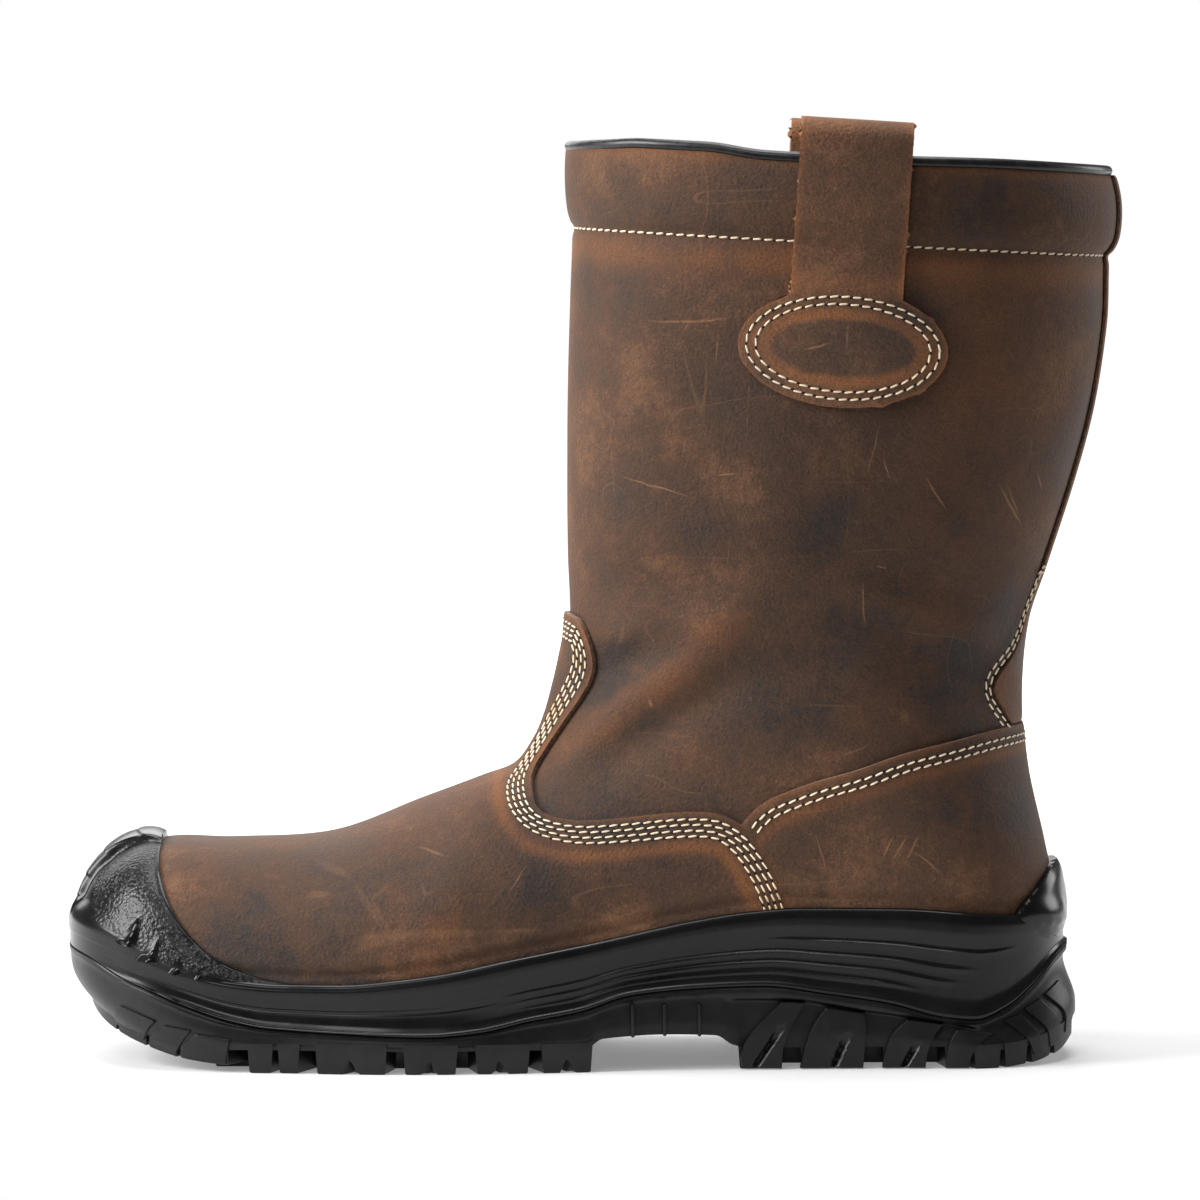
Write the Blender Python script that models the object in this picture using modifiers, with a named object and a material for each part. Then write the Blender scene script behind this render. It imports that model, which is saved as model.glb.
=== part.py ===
"""A left safety boot: a pull-on leather work boot on a cupped rubber sole.

The toe points to -X, the outer (lateral) side of the foot faces -Y and the floor is z = 0. Every
leather and rubber piece comes from two shapes: the last, a row of sections that turn from upright at
the toe to level at the collar, and the outline of the sole.
"""

import math
from collections import namedtuple

import bmesh
import bpy
from mathutils import Matrix, Vector
from mathutils.bvhtree import BVHTree

for old in list(bpy.data.objects):
    bpy.data.objects.remove(old, do_unlink=True)

# Driving dimensions, in millimetres; x is measured from the middle of the sole's length
MM = 0.001
MIDDLE_X = 6.15           # the collar overhangs the heel, so the whole boot's middle lies behind the sole's
SOLE_TOE = -153.0
SOLE_HEEL = 150.0
TOE_ROUND = 68.0          # length of the rounded toe end of the outline
HEEL_ROUND = 40.0
TOE_SQUARE = 2.6          # power of the rounded ends: 2 is an ellipse, more is squarer
HEEL_SQUARE = 2.1
TOE_SWING = 6.0           # how far the toe tip turns in, as a left foot does
SWING_START = -50.0
SWING_POWER = 1.4
WALL = 2.0                # leather of the upper
OVERLAY = 1.8             # leather of vamp, counter and back stay
GUARD = 2.4               # moulded toe and heel guards
GUARD_AT_TIP = 4.4
GUARD_LIFT = 0.7          # clearance of the guards over the midsole's sloping rim
GAP = 0.3                 # clearance where pieces meet
INSOLE = 4.0
SOLE_WRAP = 3.0           # thickness of the outsole's edge where it wraps up the midsole
SOLE_PLATE = 4.0          # midsole left under the footbed
HEEL_FLARE = 3.2
PIPING_RADIUS = 1.3
STRAP_WIDTH = 33.0
STRAP_LEATHER = 2.0
PATCH_HALF_LENGTH = 30.9
PATCH_HALF_HEIGHT = 17.5
AROUND = 24               # points round each section of the last
SHARP_ANGLE = math.radians(40.0)

# Sections of the last. The plane of a section runs from its back (or sole) point to its front (or top)
# point; lateral and medial are half widths, belly is how far along the plane the widest place lies, and
# the squares are the powers of the rounded halves on the back and on the front side.
Section = namedtuple(
    "Section", "place back_x back_z front_x front_z lateral medial belly back_square front_square"
)
LAST = [
    Section("toe tip", -144.0, 38.0, -144.0, 38.0, 0.0, 0.0, 0.40, 3.0, 2.4),
    Section("toe nose", -142.8, 31.5, -142.3, 46.5, 19.0, 19.0, 0.40, 3.0, 2.4),
    Section("toe front", -139.0, 26.8, -138.0, 54.8, 30.5, 29.5, 0.38, 4.0, 2.4),
    Section("toe top", -132.0, 23.2, -130.8, 61.0, 39.0, 37.5, 0.36, 5.0, 2.4),
    Section("toe back", -121.0, 20.2, -120.0, 63.3, 44.5, 42.5, 0.34, 6.0, 2.3),
    Section("vamp", -103.0, 17.6, -102.0, 63.2, 48.0, 46.2, 0.33, 6.0, 2.2),
    Section("ball", -75.0, 15.8, -72.0, 65.6, 50.5, 47.4, 0.33, 6.0, 2.1),
    Section("ball back", -48.0, 15.8, -45.0, 75.7, 51.4, 45.8, 0.33, 6.0, 2.0),
    Section("waist", -15.0, 18.5, -27.0, 82.6, 49.0, 41.5, 0.33, 6.0, 1.95),
    Section("instep", 22.0, 23.0, -16.5, 86.9, 44.6, 38.0, 0.34, 6.0, 1.95),
    Section("throat", 70.0, 27.5, -10.3, 95.0, 40.5, 36.5, 0.36, 5.0, 1.95),
    Section("heel girth", 118.0, 29.5, -6.8, 103.0, 38.6, 36.8, 0.40, 4.0, 2.0),
    Section("heel seat", 141.5, 36.5, -4.2, 112.0, 38.8, 38.0, 0.45, 3.2, 2.0),
    Section("heel back", 144.5, 48.0, -2.3, 120.0, 39.6, 39.2, 0.47, 2.8, 2.0),
    Section("counter", 141.5, 65.0, -0.7, 129.0, 41.2, 41.2, 0.48, 2.5, 2.05),
    Section("ankle low", 136.4, 88.0, -0.9, 140.0, 42.6, 42.6, 0.49, 2.3, 2.1),
    Section("ankle", 134.7, 110.0, -1.5, 151.0, 43.6, 43.6, 0.50, 2.2, 2.15),
    Section("ankle high", 136.7, 131.7, -1.8, 165.0, 45.2, 45.2, 0.50, 2.2, 2.2),
    Section("shaft low", 142.7, 150.0, -1.8, 178.0, 47.6, 47.6, 0.50, 2.2, 2.2),
    Section("shaft", 150.2, 174.0, -1.6, 195.0, 50.6, 50.6, 0.50, 2.2, 2.2),
    Section("shaft mid", 156.5, 198.0, -1.2, 214.0, 53.2, 53.2, 0.50, 2.2, 2.2),
    Section("shaft high", 160.2, 222.0, -0.8, 232.0, 55.0, 55.0, 0.50, 2.2, 2.2),
    Section("cuff seam", 160.8, 240.5, -0.4, 249.0, 55.2, 55.2, 0.50, 2.2, 2.2),
    Section("cuff low", 163.2, 248.5, -1.4, 257.0, 56.8, 56.8, 0.50, 2.2, 2.2),
    Section("cuff", 163.6, 258.0, -1.9, 266.0, 57.2, 57.2, 0.50, 2.2, 2.2),
    Section("collar", 162.4, 266.3, -2.0, 274.8, 56.7, 56.7, 0.50, 2.2, 2.2),
]
# Between which rows of the table a ring is also placed half way
HALF_WAY_FROM = (0, 1, 8, 11)
# Row of the last that each piece starts or ends at before it is trimmed
BED_TOP, CUP_TOP, OVERLAY_TOP, TOE_GUARD_BACK = 15.0, 17.0, 18.0, 7.0
COUNTER_FRONT, STAY_LOW, HEEL_GUARD_FRONT, HEEL_GUARD_TOP = 8.0, 13.0, 10.0, 16.0

# Rows of the sole: half widths of its outline and the heights of its side
SoleWidth = namedtuple("SoleWidth", "x lateral medial")
SOLE_WIDTHS = [
    SoleWidth(-85.0, 54.5, 52.5),
    SoleWidth(-70.0, 56.2, 53.0),
    SoleWidth(-55.0, 57.0, 52.3),
    SoleWidth(-40.0, 56.8, 50.5),
    SoleWidth(-25.0, 55.5, 48.0),
    SoleWidth(-10.0, 53.3, 45.5),
    SoleWidth(6.5, 50.4, 43.3),
    SoleWidth(9.5, 49.8, 43.0),
    SoleWidth(27.0, 47.0, 41.8),
    SoleWidth(44.0, 45.0, 41.3),
    SoleWidth(49.5, 44.6, 41.2),
    SoleWidth(65.0, 43.6, 41.0),
    SoleWidth(80.0, 42.8, 41.0),
    SoleWidth(95.0, 42.2, 41.0),
    SoleWidth(110.0, 41.8, 41.0),
]
TOE_STEPS = 7
HEEL_STEPS = 6

Height = namedtuple("Height", "x z")
RIM = [Height(*row) for row in (
    (-153.0, 42.0), (-140.0, 38.5), (-128.0, 34.5), (-115.0, 30.5), (-100.0, 27.6), (-85.0, 26.6),
    (-69.0, 26.7), (-51.0, 28.3), (-36.0, 30.4), (-21.5, 33.4), (8.0, 39.0), (38.0, 45.2), (53.0, 47.4),
    (68.0, 48.4), (98.0, 48.1), (128.0, 45.8), (150.0, 44.6),
)]
PARTING = [Height(*row) for row in (
    (-153.0, 34.0), (-146.0, 32.2), (-135.6, 27.1), (-127.2, 23.9), (-117.7, 20.2), (-101.6, 15.1),
    (-90.0, 13.0), (-69.0, 11.8), (-43.0, 10.9), (-28.0, 12.1), (-12.5, 15.4), (2.3, 18.0), (17.5, 22.6),
    (38.0, 24.4), (57.0, 24.9), (76.0, 22.5), (95.0, 19.5), (110.6, 15.5), (120.6, 14.5), (130.0, 17.9),
    (138.0, 23.9), (146.6, 32.5), (150.0, 34.3),
)]
TREAD = [Height(*row) for row in (
    (-153.0, 24.0), (-151.8, 21.9), (-148.2, 15.8), (-141.9, 9.6), (-134.0, 6.2), (-127.0, 3.6),
    (-117.0, 1.6), (-106.0, 0.4), (-97.0, 0.0), (6.5, 0.0), (9.5, 9.8), (27.0, 11.0), (44.0, 10.4),
    (49.5, 0.0), (124.0, 0.0), (136.0, 1.0), (144.0, 3.6), (150.0, 9.6),
)]
FLOOR = [Height(*row) for row in (
    (-180.0, 32.0), (-140.0, 29.4), (-132.0, 26.2), (-121.0, 23.2), (-103.0, 20.6), (-75.0, 18.8),
    (-48.0, 18.8), (-15.0, 21.5), (22.0, 26.0), (70.0, 30.5), (118.0, 32.5), (180.0, 34.6),
)]

# The midsole's side from the parting line (0) to the rim (1): how far it stands out everywhere, and
# how much the swept ribs of waist and heel and the fine line of the forefoot add
SideLevel = namedtuple("SideLevel", "share out rib line")
MIDSOLE_SIDE = [
    SideLevel(0.00, 0.3, 0.0, 0.0),
    SideLevel(0.20, -1.0, 0.7, 0.0),
    SideLevel(0.265, -1.0, -0.4, 0.0),
    SideLevel(0.33, -0.9, 0.7, 0.0),
    SideLevel(0.40, -0.8, -0.4, 0.3),
    SideLevel(0.47, -0.7, 0.7, -0.4),
    SideLevel(0.56, -0.5, -0.4, 0.5),
    SideLevel(0.65, -0.3, 0.6, 0.4),
    SideLevel(0.74, -0.2, -0.5, 0.2),
    SideLevel(0.82, 0.0, 0.0, 0.0),
    SideLevel(1.00, -1.0, 0.0, 0.0),
]
RIBS_BEGIN, RIBS_FULL, RIBS_WANE, RIBS_END = -25.0, 25.0, 118.0, 142.0

# The outsole's side from the parting line (0) to the tread (1)
TreadLevel = namedtuple("TreadLevel", "share out flare")
OUTSOLE_SIDE = [
    TreadLevel(0.00, 0.4, 0.0),
    TreadLevel(0.14, 0.4, 0.1),
    TreadLevel(0.24, -0.7, 0.2),
    TreadLevel(0.75, 0.1, 1.0),
    TreadLevel(1.00, -0.5, 0.4),
]
FLARE_BEGIN = 95.0

# Lugs: gaps between them (turn is the angle in plan), notches in their sides, flutes up the heel
LugGap = namedtuple("LugGap", "x width top turn")
LUG_GAPS = [
    LugGap(-119.0, 4.0, 9.0, 20.0),
    LugGap(-99.0, 4.5, 7.0, 16.0),
    LugGap(-78.4, 5.0, 7.0, 12.0),
    LugGap(-52.6, 4.8, 7.0, 8.0),
    LugGap(-31.5, 5.0, 7.0, -6.0),
    LugGap(-11.0, 3.6, 6.5, -10.0),
    LugGap(65.3, 5.0, 6.0, 8.0),
    LugGap(90.0, 5.0, 6.0, 4.0),
    LugGap(108.3, 5.2, 6.0, -8.0),
    LugGap(124.0, 4.0, 6.0, -16.0),
]
LUG_NOTCHES_X = (-66.0, -42.5, -21.4, -1.2, 78.0, 99.6)
NOTCH_WIDTH, NOTCH_HEIGHT, NOTCH_DEPTH, NOTCH_BOTTOM = 4.4, 4.6, 5.0, -1.0
CHANNEL_WIDTH, CHANNEL_TOP, CHANNEL_FRONT, CHANNEL_BACK = 8.0, 5.0, -112.0, 118.0
GAP_INNER_END, GAP_OUTER_END = 3.0, 80.0
GAP_SHIFT = 0.4           # share of a turned gap's lean by which its middle moves
HEEL_FLUTES_X = (65.3, 77.0, 90.0)
FLUTE_WIDTH, FLUTE_LEAN, FLUTE_DEPTH, FLUTE_BOTTOM, FLUTE_HEADROOM = 5.0, 5.5, 1.6, 5.0, 4.0

# Edges of the overlays, seen from the side
VAMP_EDGE = [Height(*row) for row in (
    (-0.3, 134.3), (3.1, 132.6), (5.8, 127.6), (6.8, 122.0), (5.8, 115.4), (2.5, 108.2), (-2.2, 100.3),
    (-6.9, 93.0), (-10.6, 87.1), (-11.9, 82.7), (-10.9, 77.4), (-6.9, 74.3), (2.5, 73.0), (15.8, 74.1),
    (29.1, 75.7), (39.1, 76.3), (45.8, 75.3), (51.1, 72.3), (55.8, 67.5), (60.4, 60.2), (63.1, 54.1),
    (64.8, 49.3), (66.0, 44.0),
)]
WING_START = 17           # where the vamp's edge turns down, along the counter
COUNTER_EDGE = [Height(*row) for row in (
    (54.4, 77.5), (59.9, 80.9), (71.5, 85.6), (85.3, 89.7), (99.0, 94.3), (112.9, 97.4), (127.1, 100.3),
    (137.9, 101.1),
)]
GUARD_THICK_TO = 4.0      # row of the last where the toe guard reaches its plain thickness
TOE_GUARD_EDGE = [Height(*row) for row in (
    (-123.8, 57.9), (-120.3, 48.6), (-114.1, 40.2), (-105.0, 33.0), (-95.0, 29.5),
)]
HEEL_GUARD_EDGE = [Height(*row) for row in ((133.5, 48.4), (137.8, 53.1), (142.0, 57.6), (144.5, 58.8))]
StayWidth = namedtuple("StayWidth", "z half")
STAY_FROM_X = 60.0        # the back stay lies behind this
BACK_STAY = [StayWidth(*row) for row in (
    (101.9, 16.0), (106.0, 19.5), (112.0, 22.5), (117.5, 20.0), (124.0, 14.5), (132.0, 10.5), (146.0, 9.0),
    (280.0, 9.0),
)]

# Pull straps: the middle of the oval patch and the lean of the strap, then its path over the collar
PATCH_X, PATCH_Z = 80.1, 215.7
STRAP_LEAN = math.radians(3.6)
PATCH_ROWS = (-0.98, -0.85, -0.6, -0.25, 0.15, 0.5, 0.72)
STRAP_ROWS = (15.0, 21.0, 27.0, 33.0, 40.0, 49.0)
STRAP_COLUMNS = 5
RIM_RISE = 55.5           # from the middle of the patch up to the collar's edge
WALL_RISE = 51.0          # the highest place where the wall beside the strap is measured
LOOP_RISE = 62.0          # up to where the strap turns over
LOOP_HALF = 4.6           # half the distance between the strap's two leaves
LOOP_STEPS = 5
INNER_LEAF_END = 44.0
STRAP_CLEARANCE = 0.9

FAR = 200.0               # beyond every piece


def lerp(table, x):
    """Height at x on a table of x and z, straight between its rows."""
    for here, after in zip(table, table[1:]):
        if x <= after.x:
            share = max(0.0, (x - here.x) / (after.x - here.x))
            return here.z + (after.z - here.z) * share
    return table[-1].z


def ease(x, begin, end):
    """0 before begin, 1 after end, and smooth between."""
    share = min(max((x - begin) / (end - begin), 0.0), 1.0)
    return share * share * (3.0 - 2.0 * share)


def swing(x):
    """Sideways turn of the forefoot, towards the inner side."""
    share = max(0.0, (SWING_START - x) / (SWING_START - SOLE_TOE))
    return TOE_SWING * share ** SWING_POWER


def placed(point):
    """A point in millimetres from the middle of the sole, in metres from the middle of the boot."""
    return Vector((point.x - MIDDLE_X, point.y, point.z)) * MM


# Objects, materials and cuts
boot = bpy.data.collections.new("safety_boot")
tools = bpy.data.collections.new("cutters")
for group in (boot, tools):
    bpy.context.scene.collection.children.link(group)


def finish(name, color, roughness, coat=0.0):
    """A plain material of one colour."""
    material = bpy.data.materials.new(name)
    material.use_nodes = True
    shader = material.node_tree.nodes["Principled BSDF"]
    shader.inputs["Base Color"].default_value = (*color, 1.0)
    shader.inputs["Roughness"].default_value = roughness
    shader.inputs["Coat Weight"].default_value = coat
    material.diffuse_color = (*color, 1.0)
    return material


LEATHER = finish("brown_leather", (0.085, 0.045, 0.028), 0.5)
STRAP = finish("strap_leather", (0.11, 0.055, 0.03), 0.55)
RUBBER = finish("black_rubber", (0.012, 0.012, 0.013), 0.55)
MOULDED = finish("black_moulding", (0.012, 0.012, 0.013), 0.45)
BINDING = finish("black_binding", (0.008, 0.008, 0.008), 0.25, 0.5)
FOOTBED = finish("grey_felt", (0.06, 0.06, 0.065), 0.9)


def solid(name, bm, material=None):
    """Make an object of a bmesh in millimetres: a piece if it has a material, a cutter if it has none."""
    bmesh.ops.recalc_face_normals(bm, faces=bm.faces)
    for vert in bm.verts:
        vert.co = placed(vert.co)
    mesh = bpy.data.meshes.new(name)
    bm.to_mesh(mesh)
    bm.free()
    piece = bpy.data.objects.new(name, mesh)
    if material:
        boot.objects.link(piece)
        mesh.materials.append(material)
        mesh.shade_smooth()
        mesh.set_sharp_from_angle(angle=SHARP_ANGLE)
    else:
        tools.objects.link(piece)
        piece.hide_render = True
        piece.display_type = "WIRE"
    return piece


def cut(piece, cutter, operation):
    """Intersect a piece with a cutter, or take the cutter away from it."""
    boolean = piece.modifiers.new(cutter.name, "BOOLEAN")
    boolean.operation = operation
    boolean.object = cutter


def loft(rings, closed=False, turn=FAR):
    """Skin a row of rings of points; a ring of one point closes an end, other ends are capped.

    From ring number turn on the rings run back the way they came, and the quads are split along the
    other diagonal, so that walls on either side of a gap have the same facets.
    """
    bm = bmesh.new()
    loops = [[bm.verts.new(point) for point in ring] for ring in rings]
    pairs = list(zip(loops, loops[1:]))
    if closed:
        pairs.append((loops[-1], loops[0]))
    for number, (one, two) in enumerate(pairs):
        count = max(len(one), len(two))
        for i in range(count):
            j = (i + 1) % count
            a, b, c, d = one[i % len(one)], one[j % len(one)], two[j % len(two)], two[i % len(two)]
            for half in ((a, b, d), (b, c, d)) if number >= turn else ((a, b, c), (a, c, d)):
                if len(set(half)) == 3:
                    bm.faces.new(half)
    for end in () if closed else (loops[0], loops[-1]):
        if len(end) > 1:
            bm.faces.new(end)
    return bm


def prism(name, outline, start=-FAR, end=FAR, along_x=False):
    """Cutter with straight sides: an outline seen from the side (or from behind), drawn out across it."""
    bm = bmesh.new()
    if along_x:
        corners = [Vector((start, across, z)) for across, z in outline]
        step = Vector((end - start, 0.0, 0.0))
    else:
        corners = [Vector((x, start, z)) for x, z in outline]
        step = Vector((0.0, end - start, 0.0))
    face = bm.faces.new([bm.verts.new(corner) for corner in corners])
    drawn = bmesh.ops.extrude_face_region(bm, geom=[face])["geom"]
    bmesh.ops.translate(bm, verts=[item for item in drawn if isinstance(item, bmesh.types.BMVert)], vec=step)
    return solid(name, bm)


# The last
def section(row):
    """The last's section at a row number, read smoothly between the rows of its table."""
    first = min(int(row), len(LAST) - 2)
    part = row - first
    before, here, after, beyond = (LAST[min(max(first + k, 0), len(LAST) - 1)] for k in (-1, 0, 1, 2))
    values = []
    for a, b, c, d in zip(before[1:], here[1:], after[1:], beyond[1:]):
        curve = 2.0 * b + (c - a) * part
        curve += (2.0 * a - 5.0 * b + 4.0 * c - d) * part ** 2 + (3.0 * b - a - 3.0 * c + d) * part ** 3
        values.append(curve / 2.0)
    return Section("between", *values)


def ring(row):
    """Points round the last at a row, from the back point up the lateral side and down the medial side."""
    cut_at = section(row)
    back = Vector((cut_at.back_x, 0.0, cut_at.back_z))
    front = Vector((cut_at.front_x, 0.0, cut_at.front_z))
    points = []
    for i in range(AROUND):
        angle = 2.0 * math.pi * i / AROUND
        low = math.cos(angle) > 0.0
        power = 2.0 / (cut_at.back_square if low else cut_at.front_square)
        reach = abs(math.cos(angle)) ** power
        width = abs(math.sin(angle)) ** power
        depth = cut_at.belly * (1.0 - reach) if low else cut_at.belly + (1.0 - cut_at.belly) * reach
        point = back.lerp(front, depth)
        point.y = width * (cut_at.medial if i > AROUND // 2 else -cut_at.lateral) + swing(point.x)
        points.append(point)
    return points


ROWS = [0.0]
for number in range(1, len(LAST)):
    if number - 1 in HALF_WAY_FROM:
        ROWS.append(number - 0.5)
    ROWS.append(float(number))


def last_with_normals():
    """Rings of the bare last, each with the outward direction at its points."""
    rings = [ring(row) for row in ROWS]
    rings[0] = rings[0][:1]
    bm = loft(rings)
    bmesh.ops.recalc_face_normals(bm, faces=bm.faces)
    lid = max(bm.faces, key=lambda face: len(face.verts))
    bmesh.ops.delete(bm, geom=[lid], context="FACES_ONLY")
    bm.normal_update()
    bm.verts.ensure_lookup_table()
    normals = iter([vert.normal.copy() for vert in bm.verts])
    bm.free()
    return [[(point, next(normals)) for point in points] for points in rings]


LAST_RINGS = last_with_normals()


def surface(offset, first=0.0, final=float(len(LAST) - 1)):
    """Rings of the last moved out by an offset, a number or a function of the row."""
    moved = []
    for row, points in zip(ROWS, LAST_RINGS):
        if first <= row <= final:
            distance = offset(row) if callable(offset) else offset
            moved.append([point + normal * distance for point, normal in points])
    return moved


def shell(name, material, inner, outer, first=0.0, final=float(len(LAST) - 1)):
    """A wall between two offsets of the last, from one row to another."""
    outside, inside = surface(outer, first, final), surface(inner, first, final)
    rings = outside + inside[::-1]
    return solid(name, loft(rings, first > 0.0, len(outside)), material)


def line(table, lift=0.0):
    """Points of a table of heights, lifted."""
    return [(row.x, row.z + lift) for row in table]


def above(name, table, lift, top=2.0 * FAR):
    """Cutter that holds everything above a line, up to a level."""
    return prism(name, [(table[-1].x, top), (table[0].x, top)] + line(table, lift))


ABOVE_BED = above("above_bed", FLOOR, 0.0)
ABOVE_FLOOR = above("above_floor", FLOOR, GAP)
INSOLE_SLAB = prism("insole_slab", line(FLOOR, GAP) + line(FLOOR, GAP + INSOLE)[::-1])

# The upper and its overlays, each a wall between two offsets of the last
upper = shell("upper", LEATHER, -WALL, 0.0)
cut(upper, ABOVE_FLOOR, "INTERSECT")

insole = solid("insole", loft(surface(-WALL - GAP, final=BED_TOP)), FOOTBED)
cut(insole, INSOLE_SLAB, "INTERSECT")

OVERLAY_OUT = GAP + OVERLAY
vamp = shell("vamp", LEATHER, GAP, OVERLAY_OUT, final=OVERLAY_TOP)
vamp_side = [(-FAR, VAMP_EDGE[0].z)] + line(VAMP_EDGE) + [(VAMP_EDGE[-1].x, 0.0), (-FAR, 0.0)]
cut(vamp, prism("vamp_side", vamp_side), "INTERSECT")
cut(vamp, ABOVE_FLOOR, "INTERSECT")

counter = shell("counter", LEATHER, GAP, OVERLAY_OUT, COUNTER_FRONT, OVERLAY_TOP)
wing = [(row.x + 2.0 * GAP, row.z + GAP) for row in VAMP_EDGE[WING_START:]]
counter_side = wing[::-1] + line(COUNTER_EDGE) + [(FAR, COUNTER_EDGE[-1].z), (FAR, 0.0), (wing[-1][0], 0.0)]
cut(counter, prism("counter_side", counter_side), "INTERSECT")
cut(counter, ABOVE_FLOOR, "INTERSECT")

back_stay = shell("back_stay", LEATHER, GAP, OVERLAY_OUT, first=STAY_LOW)
stay_back = [(-row.half, row.z) for row in BACK_STAY] + [(row.half, row.z) for row in BACK_STAY[::-1]]
cut(back_stay, prism("stay_back", stay_back, STAY_FROM_X, FAR, along_x=True), "INTERSECT")


# The sole
def outline():
    """Stations of the sole from toe to heel: x and the two half widths, with rounded ends."""
    quarter = math.pi / 2.0
    stations = []
    toe, heel = SOLE_WIDTHS[0], SOLE_WIDTHS[-1]
    for step in range(TOE_STEPS):
        angle = quarter * (1.0 - step / TOE_STEPS)
        x = toe.x - TOE_ROUND * math.sin(angle) ** (2.0 / TOE_SQUARE)
        width = max(math.cos(angle), 0.0) ** (2.0 / TOE_SQUARE) if step else 0.0
        stations.append(SoleWidth(x, toe.lateral * width, toe.medial * width))
    stations += SOLE_WIDTHS
    for step in range(1, HEEL_STEPS + 1):
        angle = quarter * step / HEEL_STEPS
        x = heel.x + HEEL_ROUND * math.sin(angle) ** (2.0 / HEEL_SQUARE)
        width = max(math.cos(angle), 0.0) ** (2.0 / HEEL_SQUARE) if step < HEEL_STEPS else 0.0
        stations.append(SoleWidth(x, heel.lateral * width, heel.medial * width))
    return stations


STATIONS = outline()
# Once round the sole: toe tip, lateral side, heel tip, medial side
EDGE_X = [row.x for row in STATIONS] + [row.x for row in STATIONS[-2:0:-1]]
EDGE = [Vector((row.x, swing(row.x) - row.lateral)) for row in STATIONS]
EDGE += [Vector((row.x, swing(row.x) + row.medial)) for row in STATIONS[-2:0:-1]]


def edge_normals():
    """Outward direction in plan at each point round the sole."""
    normals = []
    for i, _ in enumerate(EDGE):
        along = (EDGE[(i + 1) % len(EDGE)] - EDGE[i - 1]).normalized()
        normals.append(Vector((along.y, -along.x)))
    return normals


EDGE_NORMALS = edge_normals()


def loop(offset, height):
    """A ring round the sole: offset and height are functions of x."""
    points = []
    for x, point, normal in zip(EDGE_X, EDGE, EDGE_NORMALS):
        moved = point + normal * offset(x)
        points.append(Vector((moved.x, moved.y, height(x))))
    return points


def sole_block(name, material, loops):
    """Skin rings of the sole and close both ends with strips from side to side."""
    bm = loft(loops)
    for lid in [face for face in bm.faces if len(face.verts) > 4]:
        corners = list(lid.verts)
        tip = max(range(len(corners)), key=lambda i: -corners[i].co.x)
        corners = corners[tip:] + corners[:tip]
        bm.faces.remove(lid)
        for i in range(len(STATIONS) - 1):
            strip = [corners[i], corners[i + 1], corners[-1 - i], corners[-i]]
            bm.faces.new(dict.fromkeys(strip))
    return solid(name, bm, material)


def rim(x):
    return lerp(RIM, x)


def parting(x):
    return lerp(PARTING, x)


def tread(x):
    return lerp(TREAD, x)


def plate(x):
    """Top of the outsole inside its wrapped-up edge."""
    return min(parting(x) - 2.0 * GAP, lerp(FLOOR, x) - SOLE_PLATE)


def midsole_level(level):
    """One ring of the midsole's side."""
    def out(x):
        ribs = ease(x, RIBS_BEGIN, RIBS_FULL) * (1.0 - ease(x, RIBS_WANE, RIBS_END))
        return level.out + level.rib * ribs + level.line * (1.0 - ease(x, RIBS_BEGIN, RIBS_FULL))

    def height(x):
        low = parting(x) + GAP
        return low + (rim(x) - low) * level.share
    return loop(out, height)


def outsole_level(level):
    """One ring of the outsole's side."""
    def out(x):
        return level.out + level.flare * HEEL_FLARE * ease(x, FLARE_BEGIN, SOLE_HEEL)

    def height(x):
        return parting(x) + (tread(x) - parting(x)) * level.share
    return loop(out, height)


midsole_inside = -SOLE_WRAP - GAP
midsole = sole_block("midsole", MOULDED, [
    loop(lambda x: midsole_inside, lambda x: plate(x) + GAP),
    loop(lambda x: midsole_inside, lambda x: parting(x) + GAP),
    *(midsole_level(level) for level in MIDSOLE_SIDE),
])
cup = solid("cup", loft(surface(OVERLAY_OUT + GAP, final=CUP_TOP)))
cut(cup, ABOVE_BED, "INTERSECT")
cut(midsole, cup, "DIFFERENCE")

outsole = sole_block("outsole", RUBBER, [
    loop(lambda x: -SOLE_WRAP, plate),
    loop(lambda x: -SOLE_WRAP, parting),
    *(outsole_level(level) for level in OUTSOLE_SIDE),
])


def half_width(x, side):
    """Distance of the sole's edge from the middle, on the lateral (-1) or the medial (1) side."""
    for here, after in zip(STATIONS, STATIONS[1:]):
        if here.x <= x <= after.x:
            share = (x - here.x) / (after.x - here.x)
            widths = [row.lateral if side < 0 else row.medial for row in (here, after)]
            return widths[0] + (widths[1] - widths[0]) * share + side * swing(x)
    return 0.0


def join(name, pieces):
    """One cutter of several that stay clear of each other."""
    bm = bmesh.new()
    for piece in pieces:
        bm.from_mesh(piece.data)
        bpy.data.objects.remove(piece, do_unlink=True)
    mesh = bpy.data.meshes.new(name)
    bm.to_mesh(mesh)
    bm.free()
    joined = bpy.data.objects.new(name, mesh)
    tools.objects.link(joined)
    joined.hide_render = True
    joined.display_type = "WIRE"
    return joined


def block(name, size, centre, turn=0.0):
    """A box cutter, turned about the vertical."""
    bm = bmesh.new()
    bmesh.ops.create_cube(bm, size=1.0)
    place = Matrix.Translation(centre) @ Matrix.Rotation(turn, 4, "Z") @ Matrix.Diagonal((*size, 1.0))
    bmesh.ops.transform(bm, matrix=place, verts=bm.verts)
    return solid(name, bm)


BELOW = -10.0             # cutters of the tread start this far under the floor


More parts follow.
